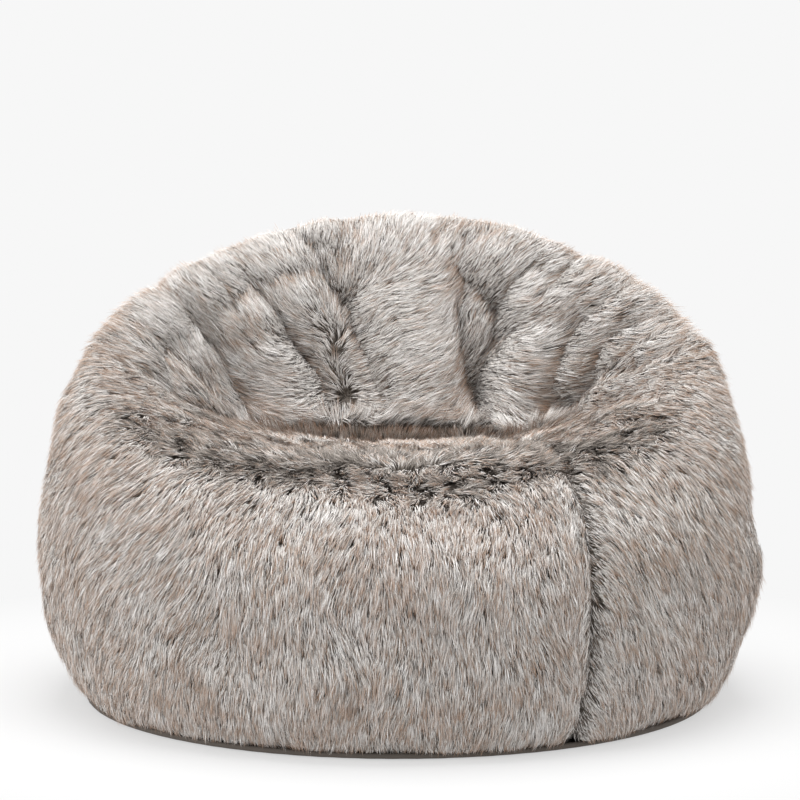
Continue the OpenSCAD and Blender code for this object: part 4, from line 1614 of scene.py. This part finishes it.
@dataclass(frozen=True)
class Bindings:
    """The tapes that bind the cover's seams inside, the base cloth and its piping."""

    cover: Cover
    tape_depth: float = 0.0208
    tape_width: float = 0.016
    tape_thickness: float = 0.001
    piping_ring_r: float = 0.4314
    piping_r: float = 0.0035
    piping_z: float = 0.0045

    def build(self, twill: bpy.types.Material, canvas: bpy.types.Material) -> None:
        """Makes all tapes, the piping and the base."""
        front, rear = self.cover.form.hem_v(FRONT_HEM_Z), self.cover.form.hem_v(REAR_HEM_Z)
        for seam in Seam:
            start = front if seam in (Seam.FRONT_RIGHT, Seam.FRONT_LEFT) else rear
            v = np.linspace(start + 0.05, 2.93, 170)
            self._tape(f"seam_tape_{seam.name.lower()}", self.cover.seams.angle(seam, v), v, twill)
        self._cap_tape(twill)
        self._piping(twill)
        base = crumpled("base_panel", "base_cloth", 0.03, 0.0002, 0.06, 61)
        place(base, canvas, "base_cloth", ["base_panel"])

    def _tape(self, node: str, phi: Array, v: Array, twill: bpy.types.Material) -> None:
        """One tape along a seam of the wall."""
        form = self.cover.form
        span = np.linalg.norm(form.skin(phi, v)[:, :2] - form.fold(phi), axis=-1)
        room = np.clip(span / 0.06, 0.05, 1.0)
        middle = self.cover.sample(phi, v, self.tape_depth)
        side = unit(form.girth_step(phi, v))
        columns = [middle + side * (k * self.tape_width * room)[:, None] for k in np.linspace(-0.5, 0.5, 7)]
        self._strip(node, np.stack(columns), twill)

    def _cap_tape(self, twill: bpy.types.Material) -> None:
        """The tape along the cap's upper edge."""
        phi = np.linspace(166.5, 193.5, 60)
        edges = self.cover.seams.cap_v + np.array([-0.02, 0.0, 0.02])
        columns = [self.cover.sample(phi, np.full(phi.shape, v), self.tape_depth) for v in edges]
        self._strip("seam_tape_cap", np.stack(columns).transpose(1, 0, 2), twill)

    def _strip(self, node: str, grid: Array, twill: bpy.types.Material) -> None:
        """Turns a grid of points into a tape."""
        up = grid_normals(grid)
        obj = grid_sheet(node + "_bound", grid, self.tape_thickness, up)
        place(obj, twill, "binding", [node])

    def _piping(self, twill: bpy.types.Material) -> None:
        """The cord round the base, with slight puckers where it is sewn in."""
        a = np.linspace(0, math.tau, 720, endpoint=False)
        wobble = 0.00035 * np.sin(a * 90) + 0.0002 * np.sin(a * 37 + 1.0)
        r = self.piping_ring_r + wobble
        path = np.stack([r * np.sin(a), -r * np.cos(a), self.piping_z + 0.5 * wobble], -1)
        obj = tube("base_piping_cord", path, self.piping_r, np.array([0, 0, 1.0]), sides=12, closed=True)
        place(obj, twill, "binding", ["base_piping"])


@dataclass(frozen=True)
class Liner:
    """The inner bag: two halves that follow the cover's folds, and a base."""

    cover: Cover
    depth: float = 0.0385
    thickness: float = 0.0012
    ring_r: float = 0.407
    ring_z: float = 0.0065
    columns: int = 110
    rows: int = 150

    def build(self, calico: bpy.types.Material) -> None:
        """Makes the two halves and the base."""
        for name, start, seed in (("liner_right", 0.0, 31), ("liner_left", 180.0, 32)):
            grid = self.layer(start, self.depth, seed)
            up = grid_normals(grid)
            obj = grid_sheet(name + "_cloth", grid, self.thickness, up)
            place(obj, calico, "liner_cloth", [name])
        base = crumpled("liner_base", "liner_base_cloth", 0.024, 0.00035, 0.04, 62)
        place(base, calico, "liner_cloth", ["liner_base"])

    def layer(self, start: float, depth: float, seed: int, turn: float = 180.0) -> Array:
        """A grid of points of one layer, from its ring on the base up to the fold.

        Args:
            start: First angle.
            depth: Depth under the pile's tips.
            seed: Picks the crumples.
            turn: Degrees that the layer covers.

        Returns:
            Columns of points from the base up.
        """
        rows = np.linspace(self.cover.form.hem_v(FRONT_HEM_Z), 2.985, self.rows)
        phi, v = np.meshgrid(np.linspace(start + 0.1, start + turn - 0.1, self.columns), rows, indexing="ij")
        wall = self.cover.sample(phi, v, depth, soft=1.5)
        up = self.cover.form.normal(phi, v)
        calm = ease((2.9 - v) / 0.2) * ease((v - rows[0]) / 0.3)
        crumple = 0.0009 * noise(wall, 0.022, seed) + 0.0005 * noise(wall, 0.009, seed + 1)
        wall = wall + up * (calm * crumple)[..., None]
        a = np.radians(phi[:, :1])
        r = self.ring_r - (depth - self.depth)
        ring = np.stack([r * np.sin(a), -r * np.cos(a), np.full(a.shape, self.ring_z)], -1)
        turned = [lerp(ring, wall[:, :1], k) for k in (0.0, 0.25, 0.5, 0.75)]
        return np.concatenate([*turned, wall], axis=1)


@dataclass(frozen=True)
class Filling:
    """The loose beads, as one soft body under the liner."""

    liner: Liner
    gap: float = 0.003
    sides: int = 200
    bottom_z: float = 0.0078

    def build(self, beads: bpy.types.Material) -> None:
        """Makes the body."""
        liner = Liner(self.liner.cover, columns=self.sides + 1, rows=120)
        grid = liner.layer(0.0, liner.depth + liner.thickness + self.gap, 41, turn=360.2)[:-1]
        rings = grid.transpose(1, 0, 2)
        rings[0, :, 2] = self.bottom_z
        low = np.array([0.0, 0.0, self.bottom_z])
        high = rings[-1].mean(axis=0)
        obj = ringed_body("bead_filling", rings, low, high)
        place(obj, beads, "beads", ["bead_fill"])


# ---------------------------------------------------------------- zips


@dataclass(frozen=True)
class CoverZip:
    """The cover's zip: a coil zip on a shallow cone under the rear panels."""

    form: BagForm
    hem_z: float = 0.024
    cover_t: float = 0.027
    base_lap: float = 0.003
    piping_r: float = 0.0035
    touch: float = 0.0004
    ground: float = 0.001
    clear: float = 0.0012
    share: float = 0.3
    start: float = 94.3
    sweep: float = 171.4
    slot: float = 0.0016
    row: float = 0.003
    wire: float = 0.00042
    pitch: float = 0.0016
    tape_high: float = 0.0200
    tape_low: float = 0.0086
    stitch: float = 0.0030
    stitch_gap: float = 0.0014
    thread: float = 0.00032

    @cached_property
    def foot(self) -> Array:
        """Radius and height of the band's foot, just outside the piping."""
        ring_r = self.form.base_r + self.base_lap + self.piping_r + self.touch + self.ground
        return np.array([ring_r + self.ground, 2 * self.piping_r + self.ground + self.clear])

    @cached_property
    def rise(self) -> Array:
        """The band from its foot to the inside of the hem, as radius and height."""
        turn = math.acos(1 - self.hem_z / self.form.belly_z)
        flare = self.form.mean_r - self.form.base_r
        hem = np.array([self.form.base_r + flare * math.sin(turn), self.hem_z])
        out = unit(np.array([self.form.belly_z * math.sin(turn), -flare * math.cos(turn)]))
        return hem - self.cover_t * out - self.foot

    @cached_property
    def middle(self) -> Array:
        """Radius and height of the coil's middle line."""
        band = float(np.linalg.norm(self.rise)) - self.clear
        return self.foot + unit(self.rise) * band * self.share

    def point(self, angle: Array, across: Array | float, out: Array | float) -> Array:
        """A point of the zip.

        Args:
            angle: Degrees round the bag from the front.
            across: Metres up the band from its middle.
            out: Metres out of it.

        Returns:
            Points in metres.
        """
        a = np.radians(angle)
        (mid_r, mid_z), (up_r, up_z) = self.middle, unit(self.rise)
        r = mid_r + up_r * across + up_z * out
        z = mid_z + up_z * across - up_r * out
        return np.stack([r * np.sin(a), -r * np.cos(a), z + 0 * a], -1)

    def build(self, metal: bpy.types.Material, nylon: bpy.types.Material, tape: bpy.types.Material) -> None:
        """Makes the coils, the metal pieces and the stitching, and dresses the tapes."""
        for name, sign in (("zip_coil_upper", 1.0), ("zip_coil_lower", -1.0)):
            place(self._coil(name + "_wire", sign), nylon, "zip_coil", [name])
        for node in ("zip_tape_upper", "zip_tape_lower"):
            dress(node, tape)
        rows = (self.tape_high - 0.003, 0.0072, -self.tape_low + 0.0016)
        for number, across in enumerate(rows):
            place(self._stitches(f"zip_stitching_{number + 1}", across), tape, "zip_cloth")
        for node, body in (
            ("zip_stop_closed", "root"),
            ("zip_stop_open", "root"),
            ("zip_slider", "zip_slider"),
            ("zip_pull", "zip_pull"),
        ):
            place(bevelled(node, 0.00025), metal, "zip_metal", [node], body)

    def _coil(self, name: str, sign: float) -> bpy.types.Object:
        """One row of the coil, as a wire wound round its tape edge."""
        length = math.radians(self.sweep) * float(self.middle[0])
        turns = round(length / self.pitch)
        t = np.linspace(0, 1, turns * 8 + 1)
        wind = t * turns * math.tau
        centre = sign * (self.slot / 2 + self.row / 2)
        across = centre + sign * (self.row / 2 - self.wire) * np.cos(wind)
        out = (self.row / 2 - self.wire) * np.sin(wind)
        path = self.point(self.start + t * self.sweep, across, out)
        angle = self.start + t * self.sweep
        lean = self.point(angle, 0.0, 1.0) - self.point(angle, 0.0, 0.0)
        return tube(name, path, self.wire, unit(lean) + 0.3, sides=4)

    def _stitches(self, name: str, across: float) -> bpy.types.Object:
        """A row of lock stitches along the tape."""
        step = math.degrees((self.stitch + self.stitch_gap) / float(self.middle[0]))
        half = math.degrees(self.stitch / float(self.middle[0])) / 2
        middles = np.arange(self.start, self.start + self.sweep, step)
        parts = []
        sections = ((-1.0, 0.0005, 0.1), (-0.6, 0.0007, 1.0), (0.6, 0.0007, 1.0), (1.0, 0.0005, 0.1))
        for share, out, r in sections:
            centre = self.point(middles + share * half, across, out)
            a = np.linspace(0, math.tau, 6, endpoint=False)
            up = self.point(middles, across + 1.0, out) - self.point(middles, across, out)
            away = self.point(middles, across, out + 1.0) - self.point(middles, across, out)
            ring = up[:, None] * np.cos(a)[:, None] + away[:, None] * np.sin(a)[:, None]
            parts.append(centre[:, None] + self.thread * r * ring)
        co = np.stack(parts, axis=1)
        n = len(middles)
        idx = np.arange(n * 24).reshape(n, 4, 6)
        nxt = np.roll(idx, -1, axis=2)
        a, b, c, d = idx[:, :-1], nxt[:, :-1], nxt[:, 1:], idx[:, 1:]
        walls = [np.stack([a, c, b], -1).reshape(-1, 3), np.stack([a, d, c], -1).reshape(-1, 3)]
        ends = []
        for k in range(1, 5):
            ends.append(np.stack([idx[:, 0, 0], idx[:, 0, k], idx[:, 0, k + 1]], -1))
            ends.append(np.stack([idx[:, 3, 0], idx[:, 3, k + 1], idx[:, 3, k]], -1))
        return fast_mesh(name, co.reshape(-1, 3), np.concatenate([*walls, *ends]))


@dataclass(frozen=True)
class LinerZip:
    """The small straight zip in the liner's base."""

    length: float = 0.412
    y: float = 0.060
    z: float = 0.0058
    slot: float = 0.0012
    row: float = 0.002
    thick: float = 0.0016
    wire: float = 0.0003
    pitch: float = 0.0013

    def build(self, metal: bpy.types.Material, nylon: bpy.types.Material, tape: bpy.types.Material) -> None:
        """Makes the coils, stops, slider and tapes."""
        coils = [self._coil(sign) for sign in (1.0, -1.0)]
        place(joined("liner_zip_wire", coils), nylon, "liner_coil", ["liner_zip_coils"])
        tapes = crumpled("liner_zip_tapes", "liner_zip_tape_cloth", 0.012, 0.00012, 0.03, 63)
        place(tapes, tape, "liner_tape", ["liner_zip_tapes"])
        place(bevelled("liner_zip_stops", 0.0002), metal, "liner_metal", ["liner_zip_stops"])
        slider = bevelled("liner_zip_slider", 0.00015)
        place(slider, metal, "liner_metal", ["liner_zip_slider"], "liner_zip_slider")

    def _coil(self, sign: float) -> bpy.types.Object:
        """One row of the coil."""
        turns = round(self.length / self.pitch)
        t = np.linspace(0, 1, turns * 8 + 1)
        wind = t * turns * math.tau
        x = (t - 0.5) * self.length
        y = self.y + sign * (self.slot / 2 + self.row / 2 + (self.row / 2 - self.wire) * np.cos(wind))
        z = self.z + (self.thick / 2 - self.wire) * np.sin(wind)
        return tube("liner_wire", np.stack([x, y, z], -1), self.wire, np.array([0.2, 0.3, 1.0]), sides=4)


def bevelled(node: str, width: float) -> bpy.types.Object:
    """A copy of a metal node with its edges rounded."""
    obj = node_copy(node, node + "_metal")
    bevel = obj.modifiers.new("edges", "BEVEL")
    bevel.width = width
    bevel.segments = 2
    bevel.limit_method = "ANGLE"
    bevel.angle_limit = math.radians(40)
    bevel.use_clamp_overlap = True
    return obj


# ---------------------------------------------------------------- stage


@dataclass(frozen=True)
class Lamp:
    """A square soft light: where it stands, what it faces, its side and its power."""

    name: str
    spot: tuple[float, float, float]
    aim: tuple[float, float, float]
    side: float
    watts: float

    def build(self) -> None:
        """Hangs the light."""
        data = bpy.data.lights.new(self.name, "AREA")
        data.size, data.energy = self.side, self.watts
        lamp = bpy.data.objects.new(self.name, data)
        lamp.location = self.spot
        lamp.rotation_euler = (Vector(self.aim) - Vector(self.spot)).to_track_quat("-Z", "Y").to_euler()
        bpy.context.scene.collection.objects.link(lamp)


LAMPS: tuple[Lamp, ...] = (
    Lamp("overhead", (0.0, 0.1, 2.8), (0, 0.1, 0.3), 2.0, 76),
    Lamp("left_key", (-3.0, -1.2, 1.1), (0, 0, 0.3), 1.8, 46),
    Lamp("right_fill", (2.9, -1.6, 1.5), (0, 0, 0.3), 1.8, 14),
)


@dataclass(frozen=True)
class Stage:
    """Camera, floor and soft studio light."""

    distance: float = 3.4
    elevation: float = 5.96
    aim_z: float = 0.35
    lens: float = 110.0
    shift_x: float = 0.0019
    shift_y: float = 0.0505

    def build(self) -> None:
        """Sets up the whole stage."""
        self._camera()
        self._floor()
        self._lights()

    def _camera(self) -> None:
        """Places the camera in front of the seat, a little above it."""
        e = math.radians(self.elevation)
        data = bpy.data.cameras.new("camera")
        data.lens, data.sensor_width = self.lens, 36.0
        data.shift_x, data.shift_y = self.shift_x, self.shift_y
        cam = bpy.data.objects.new("camera", data)
        cam.location = (0, -self.distance * math.cos(e), self.aim_z + self.distance * math.sin(e))
        cam.rotation_euler = (math.pi / 2 - e, 0, 0)
        bpy.context.scene.collection.objects.link(cam)
        bpy.context.scene.camera = cam

    @staticmethod
    def _floor() -> None:
        """A pale floor that fades into the backdrop far off."""
        bpy.ops.mesh.primitive_plane_add(size=30, location=(0, 0, 0))
        floor = bpy.context.object
        floor.name = "floor"
        material = bpy.data.materials.new("floor_paint")
        material.use_nodes = True
        b = Nodes(material.node_tree)
        paint = b.add("ShaderNodeBsdfDiffuse")
        paint.inputs["Color"].default_value = (0.72, 0.72, 0.72, 1)
        glow = b.add("ShaderNodeEmission")
        glow.inputs["Color"].default_value = (*BACKDROP, 1)
        where = b.add("ShaderNodeTexCoord").outputs["Object"]
        far = b.add("ShaderNodeVectorMath", operation="LENGTH")
        b.link(where, far.inputs[0])
        fade = b.curve(b.math("MULTIPLY", far.outputs["Value"], 0.5), ((0.20, 0.52), (0.50, 1.0)))
        mix, out = b.add("ShaderNodeMixShader"), b.add("ShaderNodeOutputMaterial")
        b.link(fade, mix.inputs[0])
        b.link(paint.outputs[0], mix.inputs[1])
        b.link(glow.outputs[0], mix.inputs[2])
        b.link(mix.outputs[0], out.inputs[0])
        floor.data.materials.append(material)
        floor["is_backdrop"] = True

    def _lights(self) -> None:
        """Big soft lights: one overhead, one each side of the camera."""
        scene = bpy.context.scene
        scene.view_settings.view_transform = "Standard"
        world = bpy.data.worlds.new("studio")
        scene.world = world
        world.use_nodes = True
        b = Nodes(world.node_tree)
        ambient, backdrop = b.add("ShaderNodeBackground"), b.add("ShaderNodeBackground")
        ambient.inputs[0].default_value = (1, 1, 1, 1)
        ambient.inputs[1].default_value = 0.85
        backdrop.inputs[0].default_value = (*BACKDROP, 1)
        mix, out = b.add("ShaderNodeMixShader"), b.add("ShaderNodeOutputWorld")
        b.link(b.add("ShaderNodeLightPath").outputs["Is Camera Ray"], mix.inputs[0])
        b.link(ambient.outputs[0], mix.inputs[1])
        b.link(backdrop.outputs[0], mix.inputs[2])
        b.link(mix.outputs[0], out.inputs[0])
        for lamp in LAMPS:
            lamp.build()


# ---------------------------------------------------------------- putting it together


def main() -> None:
    """Builds the bean bag, piece by piece."""
    cad_low, cad_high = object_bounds()
    span = cad_high - cad_low
    form = BagForm(width=span.x, depth=span.y, back_h=span.z)
    seams = SeamPlan()
    cover = Cover(form, seams)
    Stage().build()
    cover.inflate()

    weave, wear = weave_group(), wear_group()
    backing = PILE_BACKING_PAINTED_SHADE.build(weave, wear)
    fur = Fur(PileFinish().build(), hem_clear=REAR_HEM_Z)

    front_v, rear_v = form.hem_v(FRONT_HEM_Z), form.hem_v(REAR_HEM_Z)
    cap_low, cap_high = seams.cap_v - CAP_GAP, seams.cap_v + CAP_GAP
    panels = (
        FurPanel("front_gore", Seam.FRONT_LEFT, Seam.FRONT_RIGHT, front_v, FOLD_END, 101),
        FurPanel("front_right_gore", Seam.FRONT_RIGHT, Seam.RIGHT, front_v, FOLD_END, 102),
        FurPanel("rear_right_gore", Seam.RIGHT, Seam.REAR_RIGHT, rear_v, FOLD_END, 103),
        FurPanel("rear_gore", Seam.REAR_RIGHT, Seam.REAR_LEFT, rear_v, cap_low, 104),
        FurPanel("rear_left_gore", Seam.REAR_LEFT, Seam.LEFT, rear_v, FOLD_END, 105),
        FurPanel("front_left_gore", Seam.LEFT, Seam.FRONT_LEFT, front_v, FOLD_END, 106),
        FurPanel("top_cap", Seam.REAR_RIGHT, Seam.REAR_LEFT, cap_high, FOLD_END, 107, columns=40, rows=60),
    )
    for panel in panels:
        panel.build(cover, fur, backing)

    twill, canvas, calico, nylon, pale_nylon, metal = (finish.build(weave, wear) for finish in FINISHES)

    Bindings(cover).build(twill, canvas)
    liner = Liner(cover)
    liner.build(calico)
    Filling(liner).build(BeadFinish().build())
    CoverZip(form).build(metal, nylon, twill)
    LinerZip().build(metal, pale_nylon, calico)


if __name__ == "__main__":
    main()
